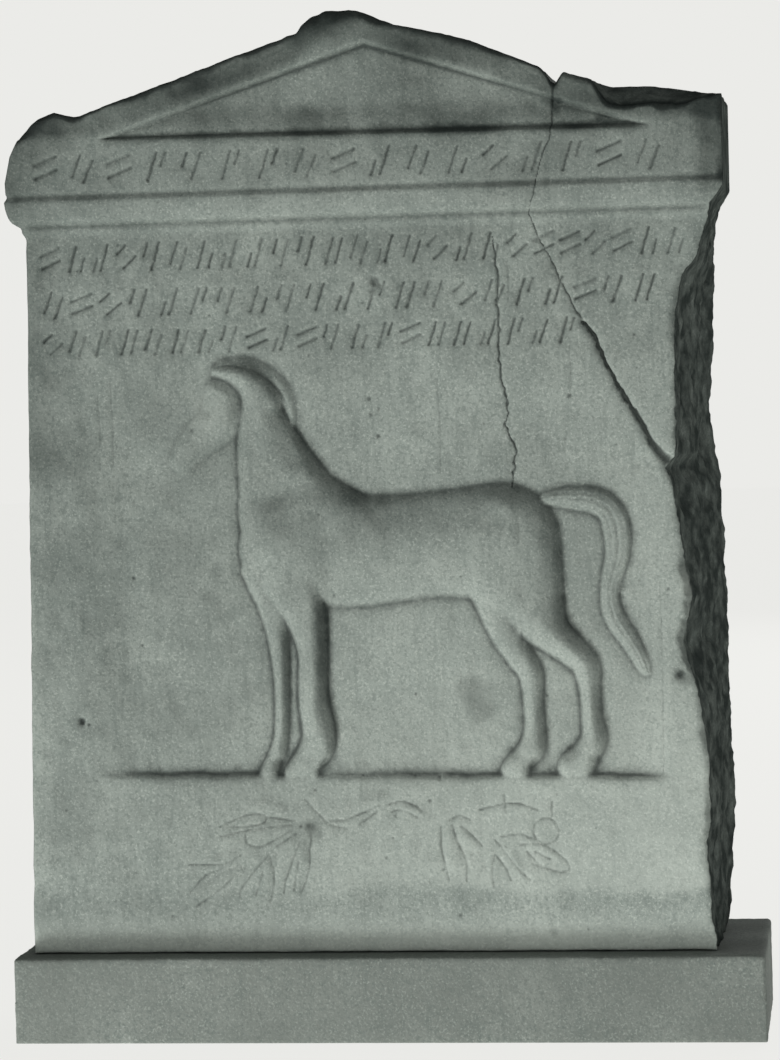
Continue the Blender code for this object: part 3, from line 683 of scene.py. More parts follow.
# %% Scratched lines round the leaves, the garland and a ring, as (x, z) in millimetres
LEAF_LINES = (
    ((-51.1, 83.6), (-58.7, 75.5), (-64.0, 68.2), (-64.5, 64.5)),
    ((-50.6, 84.1), (-49.0, 78.1), (-48.7, 70.4), (-50.8, 62.6)),
    ((-53.6, 76.3), (-57.1, 65.8)),
    ((-32.2, 87.1), (-31.9, 80.7), (-33.5, 73.4), (-36.4, 66.6)),
    ((-36.2, 89.9), (-39.2, 82.6), (-43.2, 72.6), (-44.2, 66.7)),
    ((-37.0, 80.8), (-39.6, 67.5)),
    ((-63.5, 84.2), (-71.5, 80.1), (-87.2, 79.8)),
    ((-66.1, 75.5), (-73.7, 68.3), (-84.5, 61.0)),
    ((-70.6, 78.7), (-80.4, 74.7), (-87.5, 67.0)),
    ((-72.8, 97.0), (-62.5, 101.5), (-55.6, 102.8), (-51.5, 101.4), (-53.4, 98.2),
     (-62.7, 96.9), (-71.9, 97.5)),
    ((-72.9, 92.5), (-61.3, 95.1), (-49.8, 96.8), (-40.1, 97.6)),
    ((-61.4, 93.3), (-60.6, 89.2), (-54.7, 87.7), (-47.7, 90.9), (-39.8, 95.4)),
    ((-51.0, 101.4), (-38.3, 99.4)),
    ((-46.8, 88.1), (-38.0, 93.5)),
    ((-22.2, 99.3), (-15.4, 99.7), (-6.2, 103.2), (0.8, 106.3)),
    ((-22.3, 97.5), (-14.6, 95.6)),
    ((-8.6, 97.8), (-0.7, 103.2)),
    ((5.3, 106.7), (10.8, 108.0), (16.7, 105.7), (19.8, 103.0)),
    ((6.1, 103.1), (10.7, 104.0), (17.4, 100.7)),
    ((28.2, 96.1), (28.0, 87.9), (29.2, 80.2), (31.2, 72.0)),
    ((33.2, 96.9), (35.3, 89.2), (39.1, 81.0), (39.3, 71.1)),
    ((32.4, 99.2), (36.9, 101.0), (41.4, 99.1)),
    ((37.3, 96.4), (43.0, 91.4), (46.5, 87.3)),
    ((52.3, 83.2), (50.8, 76.4), (51.5, 68.7)),
    ((52.3, 83.2), (56.7, 77.7), (59.3, 71.8)),
    ((52.5, 90.0), (56.9, 84.5), (62.1, 77.7), (67.8, 71.7)),
    ((55.2, 91.3), (63.8, 92.6), (69.2, 90.3)),
    ((63.7, 87.6), (72.7, 88.0), (79.9, 84.3), (86.0, 77.5), (81.4, 75.2), (72.5, 78.5),
     (66.8, 84.4)),
    ((70.4, 84.4), (77.1, 81.2)),
    ((68.9, 79.0), (77.4, 76.2)),
    ((78.6, 106.9), (78.4, 100.1)),
    ((57.1, 110.3), (57.8, 102.6)),
    ((46.1, 103.6), (56.1, 106.2), (64.2, 106.1), (71.8, 103.3)),
    ((-33.4, 109.0), (-28.0, 103.0), (-23.2, 98.4)),
    ((-31.5, 97.0), (-31.0, 91.0), (-32.0, 86.0)),
)
RING_MIDDLE, RING_RADIUS = (75.6, 93.8), 5.8
LINE_WIDTH, LINE_CUT = 1.7, 0.34

for line in LEAF_LINES:
    tapered = smooth_chain([(*point, LINE_WIDTH) for point in line], 3)
    cut(tapered, LINE_CUT, 0.1)
turns = np.linspace(0, 2 * np.pi, 25)
cut([(RING_MIDDLE[0] + RING_RADIUS * np.cos(a), RING_MIDDLE[1] + RING_RADIUS * np.sin(a),
      LINE_WIDTH) for a in turns], LINE_CUT)
print(len(LEAF_LINES), "lines and a ring")

# %% Rows of strokes that spell nothing
# Each row: from and to, the height of its foot at either end, its height, and how many
STROKE_ROWS = (
    (-149.5, 139.0, 390.4, 388.0, 13.0, 17),
    (-148.5, 146.0, 350.0, 350.6, 12.6, 25),
    (-148.5, 133.0, 329.6, 330.0, 12.0, 21),
    (-148.5, 96.5, 312.2, 312.6, 11.2, 21),
)
STROKE_WIDTH, STROKE_CUT = 2.5, 0.8

# A sign is two loose strokes that never meet and lean to the right, in a cell one wide
# and one high
SIGNS = (
    (((0.12, 0.04), (0.46, 0.96)), ((0.56, 0.06), (0.90, 0.94))),
    (((0.16, 0.02), (0.50, 0.98)), ((0.66, 0.52), (0.84, 0.98))),
    (((0.16, 0.04), (0.50, 0.94)), ((0.66, 0.04), (0.84, 0.50))),
    (((0.06, 0.62), (0.90, 0.92)), ((0.10, 0.16), (0.92, 0.46))),
    (((0.08, 0.50), (0.26, 0.97)), ((0.42, 0.03), (0.78, 0.96))),
    (((0.12, 0.03), (0.30, 0.48)), ((0.46, 0.05), (0.82, 0.97))),
    (((0.10, 0.22), (0.42, 0.98)), ((0.54, 0.02), (0.88, 0.76))),
    (((0.06, 0.60), (0.44, 0.90)), ((0.34, 0.10), (0.92, 0.52))),
)

chance = np.random.default_rng(42)
for start, end, foot_start, foot_end, high, count in STROKE_ROWS:
    pitch = (end - start) / count
    wide = min(pitch * 0.84, high * 0.92)
    for number in range(count):
        corner = start + (number + 0.05) * pitch + chance.uniform(-0.3, 0.3)
        foot = between(foot_start, foot_end, number / count)
        tall = high * chance.uniform(0.94, 1.03)
        for stroke in SIGNS[chance.integers(len(SIGNS))]:
            thick = STROKE_WIDTH * chance.uniform(0.85, 1.15)
            course = [(corner + wide * a, foot + tall * b, thick) for a, b in stroke]
            cut(course, STROKE_CUT * chance.uniform(0.6, 1.1), 0.25, 0.0)
print(sum(row[-1] for row in STROKE_ROWS), "signs cut")

# %% [markdown]
# ## Cracks, pits and wear
#
# The old break runs from the notch down to the right side and gapes near its lower end. A
# second crack runs down through the inscription to the horse's back. Rain has drawn short
# upright runnels, and small pits are scattered over the face.

# %% The old break and the cracks
OLD_BREAK_CUT, WIDE_BREAK_CUT, LONG_CRACK_CUT, RUNNEL_CUT = 0.7, 2.3, 0.9, 0.22
# Courses as place across, height and width in millimetres
OLD_BREAK = ((88.3, 434, 2.0), (87.6, 426.6, 1.9), (86.8, 420, 1.5), (86.6, 411, 1.1),
             (85.0, 402, 1.0), (81.7, 396, 0.9), (79.8, 389, 0.8), (77.7, 378, 0.8),
             (74.9, 371, 0.8), (76.5, 365, 0.8), (79.9, 357.4, 0.8), (84.6, 348.4, 0.9),
             (89.2, 338, 1.0), (94.3, 327.7, 1.1), (97.7, 321.3, 1.6))
WIDE_BREAK = ((97.7, 321.3, 1.7), (102.5, 315, 2.5), (105.8, 306.5, 2.5), (110.9, 296, 2.6),
              (116, 287, 2.9), (122, 277, 3.2), (127.6, 266, 4.2), (132.7, 260, 6.0),
              (140, 255.5, 9.0))
LONG_CRACK = ((58.1, 360.7, 0.9), (59.1, 351, 1.2), (60.3, 343, 2.2), (59.6, 332, 2.1),
              (60.1, 319, 2.0), (59.3, 306, 1.8), (61.3, 294, 1.8), (62.9, 287.5, 1.5),
              (62.8, 282, 1.2), (61.7, 276.4, 1.2), (64.3, 269.6, 1.2), (65.9, 265, 1.4),
              (64.8, 256, 1.3), (63.7, 248.6, 1.0))
# Each runnel's place across, its upper end and its lower end
RUNNELS = ((31.8, 298, 256), (91.5, 311, 289), (-123.5, 294, 260), (64.5, 350, 331),
           (-117.5, 300, 262), (-27.0, 365, 350), (-86.0, 340, 318), (129.0, 205, 120),
           (38.5, 232, 222), (38.5, 170, 160), (66.5, 236, 224), (66.5, 195, 158))

cut(OLD_BREAK, OLD_BREAK_CUT, 0.5, 0.2)
cut(WIDE_BREAK, WIDE_BREAK_CUT, 0.5, 0.35)
cut(LONG_CRACK, LONG_CRACK_CUT, 0.7, 0.1)
for place, high_end, low_end in RUNNELS:
    middle = (high_end + low_end) / 2
    course = [(place, high_end, 0.8), (place + 0.4, middle, 1.8), (place, low_end, 0.8)]
    cut(course, RUNNEL_CUT, 0.3, 0.0)
print("cracks of", len(OLD_BREAK) + len(WIDE_BREAK), "and", len(LONG_CRACK), "points")

# %% Pits and chips
# Place across, height, radius and depth of the ones that show, in millimetres
CHIPS = (
    (4.9, 341.8, 4.2, 1.2),
    (-30.6, 96.2, 3.2, 0.6),
    (-35.6, 97.0, 1.4, 0.4),
    (-28.7, 113.4, 1.3, 0.4),
    (-135.2, 145.8, 2.4, 1.3),
    (-132.0, 144.6, 1.5, 0.9),
    (4.0, 338.0, 2.6, 0.8),
    (0.5, 289.5, 1.4, 0.5),
    (0.8, 282.5, 1.3, 0.5),
    (137.2, 163.0, 3.0, 1.2),
    (91.0, 289.0, 1.7, 0.6),
    (-110.0, 211.0, 1.2, 0.5),
    (-107.0, 180.0, 0.9, 0.5),
    (18.0, 156.0, 1.1, 0.4),
    (28.0, 118.0, 1.5, 0.8),
)

for place, height, radius, deep in CHIPS:
    away = np.hypot(x - place * MM, z - height * MM) / (radius * MM)
    near = away < 1.6
    ragged = away[near] + 0.3 * bumps(x[near], 0.0, z[near], 2.5 * MM, 9)
    cuts[near] = np.maximum(cuts[near], deep * MM * (1 - fade(ragged, 0.2, 1.0)))

PIT_COUNT = 170
chance = np.random.default_rng(7)
pits = zip(chance.uniform(-160, 160, PIT_COUNT), chance.uniform(42, 400, PIT_COUNT),
           chance.exponential(0.35, PIT_COUNT))
for place, height, size in pits:
    radius = 0.4 + min(size, 1.2)
    reach = [np.searchsorted(row_z, (height + side * radius) * MM) for side in (-1, 1)]
    band = slice(max(reach[0] - 1, 0), reach[1] + 1)
    away = np.hypot(x[band] - place * MM, z[band] - height * MM) / (radius * MM)
    cuts[band] = np.maximum(cuts[band], 0.32 * radius * MM * (1 - fade(away, 0.1, 1.0)))
print(len(CHIPS), "chips and", PIT_COUNT, "pits")

# %% Put the cuts in and wear the surface
BROAD_WEAR, FINE_WEAR, TOOL_MARKS = 0.28 * MM, 0.17 * MM, 0.13 * MM

front += cuts
broad = weathering(x, 0.0, z, 34 * MM, 2, 21)
fine = weathering(x, 0.0, z, 6 * MM, 3, 31)
tooled = fade(bumps(x, 0.0, z, 30 * MM, 43), -0.5, 0.5)
upright_grain = bumps(x, 0.0, z * 0.12, 2.6 * MM, 41) * tooled
uneven = BROAD_WEAR * broad + FINE_WEAR * fine + TOOL_MARKS * upright_grain
front += uneven
print("surface uneven by", round(1000 * float(np.abs(uneven).max()), 2), "mm")

# %% [markdown]
# ## Worn edges
#
# No edge of an old marble is sharp. At the outline the front turns back in a quarter
# round whose radius is about 2 mm on the dressed shaft, more on the battered stumps of
# the acroteria, and small and uneven along the break.

# %% Round the front over at its outline
DRESSED_EDGE, BATTERED_EDGE, FOOT_EDGE = 2.4 * MM, 3.2 * MM, 1.1 * MM
BREAK_EDGE, CROWN_WEAR, CHIPPED_EDGE = 1.4 * MM, 0.6 * MM, 2.52 * MM
RAKE_COSINE = 0.95


def turned(inside, radius):
    """How far a worn edge falls back, at a distance inside the outline."""
    left_over = radius - np.clip(inside, 0, radius)
    return radius - np.sqrt(np.maximum(radius**2 - left_over**2, 0))


sloping = top(x, np.zeros_like(x))
battered = fade(np.abs(x + CROWN_HALF), 40 * MM, 12 * MM)
battered = battered + fade(np.abs(x - APEX_X), 26 * MM, 10 * MM)
chewed = 1 + 0.5 * weathering(x, 0.0, z, 9 * MM, 2, 51)
edge_left = turned(x - left_side(np.minimum(z, CORNICE_Z)), DRESSED_EDGE * chewed)
chipped = fade(np.abs(z - 192 * MM), 34 * MM, 12 * MM)
chipped = chipped + 0.6 * fade(np.abs(z - 120 * MM), 40 * MM, 20 * MM)
right_wear = BREAK_EDGE + CROWN_WEAR * (z > SHAFT_TOP) + CHIPPED_EDGE * chipped * (1 + fine)
edge_right = turned(front_right[:, None] - x, np.maximum(right_wear * chewed, 0.8 * MM))
edge_top = turned(RAKE_COSINE * (sloping - z), (DRESSED_EDGE + BATTERED_EDGE * battered) * chewed)
edge_foot = turned(z - FOOT_Z, FOOT_EDGE * chewed)
front += np.maximum.reduce([edge_left, edge_right, edge_top, edge_foot])
print("widest worn edge", round(1000 * float(edge_top.max()), 1), "mm")

# %% [markdown]
# ## Dirt, stains, painted shade and pale stone
#
# Whatever is lower than the stone around it is darkened, partly for the dirt that stays
# there and partly as painted shade. Comparing each point of the front with the average
# round it finds those places. Every surface that faces up or to the right is darkened as
# painted shade. The stone is also darker in regions: towards the top, along the raking
# cornice, on the left and lower left, in a band above the plinth, and in stains. It is
# paler lower down, to the right and where it was newly chipped, and along the foot painted
# light makes it paler. The numbers are kept as attributes on the mesh, and the material
# reads them.

# %% Find the hollows, those of cuts and the wider ones
CUT_FULL, HOLLOW_FULL = 0.36 * MM, 1.5 * MM

# Hollows are darkened, partly for the dirt that settles in them and partly as painted shade in
# the recesses.
hollow_small = np.clip((front - average(front, 3)) / CUT_FULL - 0.12, 0, 1)
hollow_wide = np.clip((front - average(front, 10)) / HOLLOW_FULL, 0, 1)
soil_and_shade_front = np.clip(0.8 * hollow_small + 0.3 * hollow_wide, 0, 1)
print("darkened share", round(float((soil_and_shade_front > 0.5).mean()), 3))

# %% Stains and pale spots
# A stain's place across, height, half width, half height in millimetres and its strength
STAINS = (
    (-30.6, 96.0, 5.0, 6.5, 0.5),
    (46.0, 152.0, 9.0, 12.0, 0.42),
    (-45.3, 125.0, 2.5, 2.5, 0.5),
    (-25.2, 124.8, 3.2, 3.2, 0.8),
    (70.5, 123.8, 2.2, 3.0, 0.6),
    (99.3, 125.5, 2.2, 3.2, 0.6),
    (4.9, 341.0, 4.5, 5.0, 0.4),
    (-148.0, 345.0, 6.0, 12.0, 0.4),
    (-148.5, 300.0, 4.0, 26.0, 0.35),
    (-50.0, 444.0, 16.0, 5.0, 0.4),
    (-150.0, 418.0, 14.0, 10.0, 0.3),
    (-4.5, 457.0, 16.0, 8.0, 0.3),
    (85.0, 416.0, 5.0, 12.0, 0.35),
    (20.0, 425.0, 3.0, 22.0, 0.2),
    (6.0, 428.0, 2.0, 24.0, 0.2),
    (137.0, 164.0, 5.0, 6.0, 0.6),
    (140.0, 300.0, 8.0, 40.0, 0.15),
    (-88.0, 268.0, 9.0, 9.0, 0.25),
    (-62.0, 303.0, 7.0, 5.0, 0.35),
)
PALE_SPOTS = (
    (141.0, 204.0, 3.0, 9.0, 0.9),
    (140.0, 122.0, 9.0, 34.0, 0.35),
    (92.0, 116.0, 12.0, 5.0, 0.4),
    (-72.0, 284.0, 8.0, 10.0, 0.30),
)


def spots(table):
    """Ragged soft spots on the front."""
    total = np.zeros_like(front)
    wander = 0.35 * weathering(x, 0.0, z, 7 * MM, 3, 95)
    for place, height, wide, high, strength in table:
        away = np.hypot((x / MM - place) / wide, (z / MM - height) / high)
        total = np.maximum(total, strength * (1 - fade(away + wander, 0.3, 1.5)))
    return total


stained, pale_spots = spots(STAINS), spots(PALE_SPOTS)
print(len(STAINS), "stains and", len(PALE_SPOTS), "pale spots")

# %% Lay stains and painted shade, by where the front faces and by regions
worn = average(front, 4)
facing_up = np.gradient(worn, axis=0) / np.gradient(z, axis=0)
facing_right = np.gradient(worn, axis=1) / np.gradient(x, axis=1)
# Painted shade: surfaces that face up or to the right are darkened, on top of the real shading
# from the low left lamp, with less of it along the ledge.
grime = 0.42 * np.clip((0.8 * facing_up + 0.6 * facing_right) / 0.45, 0, 1)
grime *= 1 - 0.65 * np.exp(-(((z - ledge) / (3 * MM)) ** 2))
foot_line = 68 * MM + 3.5 * MM * weathering(x, 0.0, 0.0, 26 * MM, 3, 96)
foot_band = fade(foot_line - z, -1 * MM, 2 * MM)
rake_band = fade(sloping - z, 17 * MM, 9 * MM) * fade(z, CORNICE_Z - 2 * MM, CORNICE_Z + 4 * MM)
# Painted light: the foot is made lighter to cancel the shadow the plinth casts on it.
painted_light_at_foot = fade(z, FOOT_Z + 22 * MM, FOOT_Z + 4 * MM)
right_of_tail = np.exp(-(((x - 124 * MM) / (22 * MM)) ** 2 + ((z - 225 * MM) / (52 * MM)) ** 2))
crown_end = fade(x, CROWN_HALF - 16 * MM, CROWN_HALF - 7 * MM) * fade(z, SHAFT_TOP, FASCIA_Z)
upper_left = fade(x, -122 * MM, -150 * MM) * fade(z, 235 * MM, 290 * MM)
before_horse = fade(x, 10 * MM, -100 * MM) * fade(z, SHAFT_TOP, 250 * MM)
lower_left = fade(x, 100 * MM, -20 * MM) * fade(z, 135 * MM, 115 * MM)
# How much darker each region makes the stone, less than nothing where it is lighter. The
# right end of the crown is darkened like the broken flank, and at the foot the lightening
# is painted light against the shadow of the plinth.
REGIONS = (
    (0.27, fade(z, 66 * MM, 230 * MM)),
    (0.18, fade(z, 310 * MM, 420 * MM)),
    (0.30, rake_band),
    (0.24, upper_left),
    (0.14, before_horse),
    (0.14, lower_left),
    (0.04, foot_band),
    (-0.16, painted_light_at_foot),
    (-0.10, right_of_tail),
    (0.30, crown_end),
)
for strength, region in REGIONS:
    grime += strength * region
cloudy = 1 + 0.25 * weathering(x, 0.0, z, 24 * MM, 4, 97)
grime = np.clip(np.maximum(grime * cloudy, stained), 0, 1)
print("grime mean", round(float(grime.mean()), 2))

# %% Make parts of the face paler, with painted light along the foot
# Paler lower down and to the right, for no cause the stone shows.
paler_and_painted_light = fade(z, 260 * MM, 90 * MM) * between(0.25, 1.0, fade(x, -110 * MM, 60 * MM))
paler_and_painted_light *= 1 - foot_band
# Along the foot the paleness is painted light.
paler_and_painted_light = np.maximum.reduce([paler_and_painted_light, 0.6 * right_of_tail, 1.4 * painted_light_at_foot])
pale = np.clip(np.maximum(0.45 * paler_and_painted_light * cloudy, pale_spots), 0, 1)
print("pale mean", round(float(pale.mean()), 2))

# %% [markdown]
# ## Place every corner of the block
#
# Front corners take the depth worked out above. Corners on the sides, the top and the
# foot lie between the front's edge and the back, so a ruled face runs from one to the
# other, roughened where the stone is broken. The back is left as the mason's point left
# it, in slanting furrows.

# %% Shape the stone
BACK_EDGE, FURROW_PITCH, FURROW_DEPTH, HOLLOW_DEPTH = 3.0 * MM, 7 * MM, 0.9 * MM, 0.7 * MM

share_across, share_deep, share_up = corners_of(block_mesh).T

level = np.interp(np.minimum(share_up, CORNICE_SHARE), *np.transpose(ROW_PLAN))
deep_grid = np.linspace(0, 1, COURSES * FINER + 1)
side_table = right_side(*np.meshgrid(side_z, deep_grid, indexing="ij"))
side_row = np.clip((level - FOOT_Z) / (CORNICE_Z - FOOT_Z), 0, 1) * (len(side_z) - 1)
side_low = np.minimum(side_row.astype(int), len(side_z) - 2)
course = np.rint(share_deep * COURSES * FINER).astype(int)
past_low = side_row - side_low
right = between(side_table[side_low, course], side_table[side_low + 1, course], past_low)

is_front = share_deep < 0.001
column = np.rint(share_across * FINE_COLUMNS).astype(int)
row = np.rint(share_up * FINE_ROWS).astype(int)
right = np.where(is_front, front_right[row], right)
stone_x, stone_z = spread(share_across, share_up, share_deep, right)

rim_y = front[row, column]
back_y = np.full_like(rim_y, BACK_Y)
edge_back = np.minimum.reduce([stone_x - left_side(np.minimum(stone_z, CORNICE_Z)),
                               right - stone_x,
                               RAKE_COSINE * (top(stone_x, share_deep) - stone_z)])
furrows = np.abs(np.sin((stone_x * 0.8 + stone_z * 0.6) / FURROW_PITCH * np.pi
                        + 2.2 * bumps(stone_x, 0.0, stone_z, 45 * MM, 61)))
hollowed = np.abs(weathering(stone_x, 0.0, stone_z, 20 * MM, 3, 62))
back_y -= FURROW_DEPTH * furrows + HOLLOW_DEPTH * hollowed + turned(edge_back, BACK_EDGE)
stone_y = between(rim_y, back_y, share_deep)
print("corners placed:", len(stone_x))

# %% Roughen the broken flank and the other sides
CRUMBLED, FLAKED, PLAIN_WEAR = 1.1 * MM, 2.4 * MM, 0.3 * MM
LEFT_WEAR, TOP_WEAR = 0.35 * MM, 0.5 * MM

on_right = share_across > 0.999
on_left = share_across < 0.001
on_top = share_up > 0.999
crown = fade(stone_z, SHAFT_TOP, SHAFT_TOP + 6 * MM)
crumbly = weathering(stone_x, stone_y, stone_z, 10 * MM, 4, 71)
flaked = np.maximum(weathering(stone_x, stone_y, stone_z, 24 * MM, 2, 73), 0)
plain = weathering(stone_x, stone_y, stone_z, 16 * MM, 3, 72)
mid_depth = np.minimum(1, 6 * share_deep) * np.minimum(1, 6 * (1 - share_deep))
broken_in = (CRUMBLED * np.abs(crumbly) + FLAKED * flaked) * (1 - crown)
broken_in += PLAIN_WEAR * np.abs(plain)
stone_x -= on_right * mid_depth * broken_in
stone_x += on_left * mid_depth * LEFT_WEAR * np.abs(plain)
stone_z -= on_top * mid_depth * TOP_WEAR * np.abs(plain)
place_corners(block_mesh, np.stack([stone_x + STELE_MIDDLE, stone_y, stone_z], 1))
print("flank corners:", int(on_right.sum()))

# %% Keep soil, stains, painted shade and pale stone as attributes
# The broken flank and the broken top are nearly black, partly with old dirt and partly as
# painted shade, since they face away from the low left light. The other sides are darker
# higher up.
height_share = (stone_z - FOOT_Z) / (GABLE_TOP - FOOT_Z)
mottled = 0.88 + 0.20 * weathering(stone_x, stone_y, stone_z, 5 * MM, 3, 91)
flank_stain_and_shade = on_right * mottled
top_stain_and_shade = on_top * between(0.7, 1.0, stone_x > 95 * MM) * mottled
darker_higher_up = 0.15 + 0.25 * height_share
all_stain_and_shade = np.where(is_front, grime[row, column], darker_higher_up)
all_stain_and_shade = np.maximum.reduce([flank_stain_and_shade, top_stain_and_shade, all_stain_and_shade])


def keep(mesh, name, values):
    layer = mesh.attributes.new(name, "FLOAT", "POINT")
    layer.data.foreach_set("value", np.clip(values, 0, 1).astype(np.float32))


keep(block_mesh, "dirt", np.where(is_front, soil_and_shade_front[row, column], 0.1))
keep(block_mesh, "grime", all_stain_and_shade)
keep(block_mesh, "pale", np.where(is_front, pale[row, column], 0.0))
print("grime on the flank", round(float(flank_stain_and_shade[on_right].mean()), 2))

# %% [markdown]
# ## Thin the mesh
#
# About half a million cells are needed to cut the strokes cleanly, but most of them lie on
# quiet stone. The Decimate modifier keeps small triangles where the surface turns and
# large ones elsewhere.

# %% Thin the mesh and make it the stele
TRIANGLES, PLINTH_TRIANGLES = 190_000, 60_000


def thinned(name, mesh, triangles, low, high):
    """A new object with about that many triangles of a mesh, kept within its solid's box."""
    rough_item = bpy.data.objects.new(name + " fine", mesh)
    scene.collection.objects.link(rough_item)
    count = sum(len(face.vertices) - 2 for face in mesh.polygons)
    step = rough_item.modifiers.new("fewer faces", "DECIMATE")
    step.ratio = min(1.0, triangles / count)
    view = bpy.context.evaluated_depsgraph_get()
    final = bpy.data.meshes.new_from_object(rough_item.evaluated_get(view))
    final.name = name
    bpy.data.objects.remove(rough_item)
    place_corners(final, np.clip(corners_of(final), low, high))
    item = bpy.data.objects.new(name, final)
    scene.collection.objects.link(item)
    final.shade_smooth()
    return item


stele = thinned("carved_stele", block_mesh, TRIANGLES, stele_low, stele_high)
print("stele has", len(stele.data.polygons), "triangles")

# %% [markdown]
# ## The plinth
#
# The plinth is a plain block with dressed faces, chipped along its upper edge, and with
# the faint slanting marks of a claw chisel. It is another unit block, with all its cells
# alike, pressed to size.

# %% Shape the plinth
PLINTH_MIDDLE = (plinth_low + plinth_high) / 2
PLINTH_SIDES = plinth_high - plinth_low
PLINTH_CELLS = (200, 28, 56, 2)
LEAST_ARRIS, ARRIS_WEAR, FOOT_ARRIS = 1.5 * MM, 1.3 * MM, 0.8 * MM

plinth_mesh = unit_block("plinth dressed", *PLINTH_CELLS)
shares = corners_of(plinth_mesh)
place = np.array(plinth_low) + shares * np.array(PLINTH_SIDES)
px, py, pz = place.T

arris = LEAST_ARRIS + ARRIS_WEAR * np.abs(weathering(px, py, pz, 22 * MM, 3, 101))
faces = np.stack([shares, 1 - shares], -1).min(-1) * np.array(PLINTH_SIDES)
low_edge = pz < PLINTH_MIDDLE.z
arris = np.where(low_edge, FOOT_ARRIS, arris)
close = arris[:, None] - np.clip(faces, 0, arris[:, None])
ways = close > 0
length = np.sqrt((close**2).sum(1))
pull = np.where(ways.sum(1) > 1, np.maximum(length - arris, 0) / np.maximum(length, 1e-9), 0)
sign = np.where(shares < 0.5, 1.0, -1.0)
place = place + sign * close * pull[:, None]
print("upper edge worn by up to", round(1000 * float(arris.max()), 1), "mm")

# %% Dress the plinth's faces with a claw chisel
rough_face = 0.18 * weathering(px, py, pz, 9 * MM, 3, 102)
claw = np.sin((px + pz * 0.9) / (3.4 * MM) * np.pi + 5 * bumps(px, py, pz, 24 * MM, 103))
claw *= 0.05 * fade(bumps(px, py, pz, 26 * MM, 105), -0.3, 0.5)
dent = np.abs(rough_face + claw) * MM
for axis in (0, 1, 2):
    on_face = (faces[:, axis] < 1e-6) & ~((axis == 2) & low_edge)
    place[:, axis] += np.where(on_face, sign[:, axis] * dent, 0)
place_corners(plinth_mesh, place)
print("deepest chisel mark", round(1000 * float(dent.max()), 2), "mm")

# %% Dirty the plinth, shade its top, and make it an object
# Painted shade: the top of the plinth, under the joint, is darkened.
painted_joint_shade = fade(PLINTH_SIDES[2] * (1 - shares[:, 2]), 5 * MM, 0)
clouded = weathering(px, py, pz, 30 * MM, 3, 104)
keep(plinth_mesh, "dirt", np.full(len(px), 0.1))
keep(plinth_mesh, "grime", 0.40 + 0.10 * painted_joint_shade + 0.12 * clouded)
keep(plinth_mesh, "pale", 0.15 + 0.3 * clouded)
plinth = thinned("plinth_block", plinth_mesh, PLINTH_TRIANGLES, plinth_low, plinth_high)
print("plinth has", len(plinth.data.polygons), "triangles")

# %% [markdown]
# ## Weathered marble
#
# The stone is a fine white marble that has turned grey-green in the open: matt, mottled
# in clouds a few centimetres across, speckled like coarse sugar, streaked from rain, and
# nearly black where dirt has settled in breaks and cuts. The material mixes those tones
# one over another, and the three attributes say where the stone is paler, with painted
# light along the foot, where stains and painted shade darken it, and where soil and
# painted shade fill its hollows. Marble's IOR is about 1.5, and weathering leaves it rough.


# %% Colours and a way to add nodes
def colour(code):
    """An sRGB hex code as linear red, green, blue and alpha."""
    parts = [int(code[place:place + 2], 16) / 255 for place in (1, 3, 5)]
    return *(p / 12.92 if p < 0.04045 else ((p + 0.055) / 1.055) ** 2.4 for p in parts), 1.0


def add(tree, kind, settings=None, inputs=None):
    """One node. Inputs are numbers, colours, or (node, output) to link from."""
    node = tree.nodes.new(kind)
    for name, value in (settings or {}).items():
        setattr(node, name, value)
    for name, value in (inputs or {}).items():
        if isinstance(value, tuple) and isinstance(value[0], bpy.types.Node):
            tree.links.new(value[0].outputs[value[1]], node.inputs[name])
        else:
            node.inputs[name].default_value = value
    return node


# The darkest tone stands for soot and dirt, and also for painted shade.
PALE, STONE, SHADE, SOOT_AND_SHADE = "#bec6bd", "#959e97", "#79837d", "#1d2322"
PLINTH_STONE = "#8d948d"
print("stone is", [round(part, 3) for part in colour(STONE)])

# %% The tones of the stone, from below to above
# Noise size in millimetres, its detail, where the tone starts and is full, how far it
# covers, its upright stretch and its colour
TONES = (
    (38.0, 4, 0.40, 0.70, 0.30, 1.0, PALE),
    (14.0, 5, 0.50, 0.75, 0.55, 1.0, SHADE),
    (3.2, 3, 0.52, 0.72, 0.50, 8.0, SHADE),
    (1.5, 2, 0.48, 0.66, 0.65, 1.0, SHADE),
    (1.1, 2, 0.54, 0.70, 0.60, 1.0, PALE),
)
# The mesh's attribute, how far it covers and its colour; the dark ones also carry painted
# shade, and the pale one painted light along the foot
WEAR_LIGHT_AND_SHADE = (("pale", 0.62, PALE), ("grime", 0.92, SOOT_AND_SHADE), ("dirt", 0.75, SOOT_AND_SHADE))
# How strongly clean stone reflects; stains and painted shade take that away
MARBLE_IOR, GLOSS = 1.5, 0.3
SMOOTHEST, ROUGHEST = 0.72, 0.92
GRAIN_SIZE, GRAIN_DEPTH, GRAIN_STRENGTH = 1.3 * MM, 0.4 * MM, 0.6
# The places of the colour sockets on a Mix node
MIX_SHARE, MIX_BELOW, MIX_ABOVE, MIX_RESULT = 0, 6, 7, 2
print(len(TONES), "tones and", len(WEAR_LIGHT_AND_SHADE), "kinds of wear")


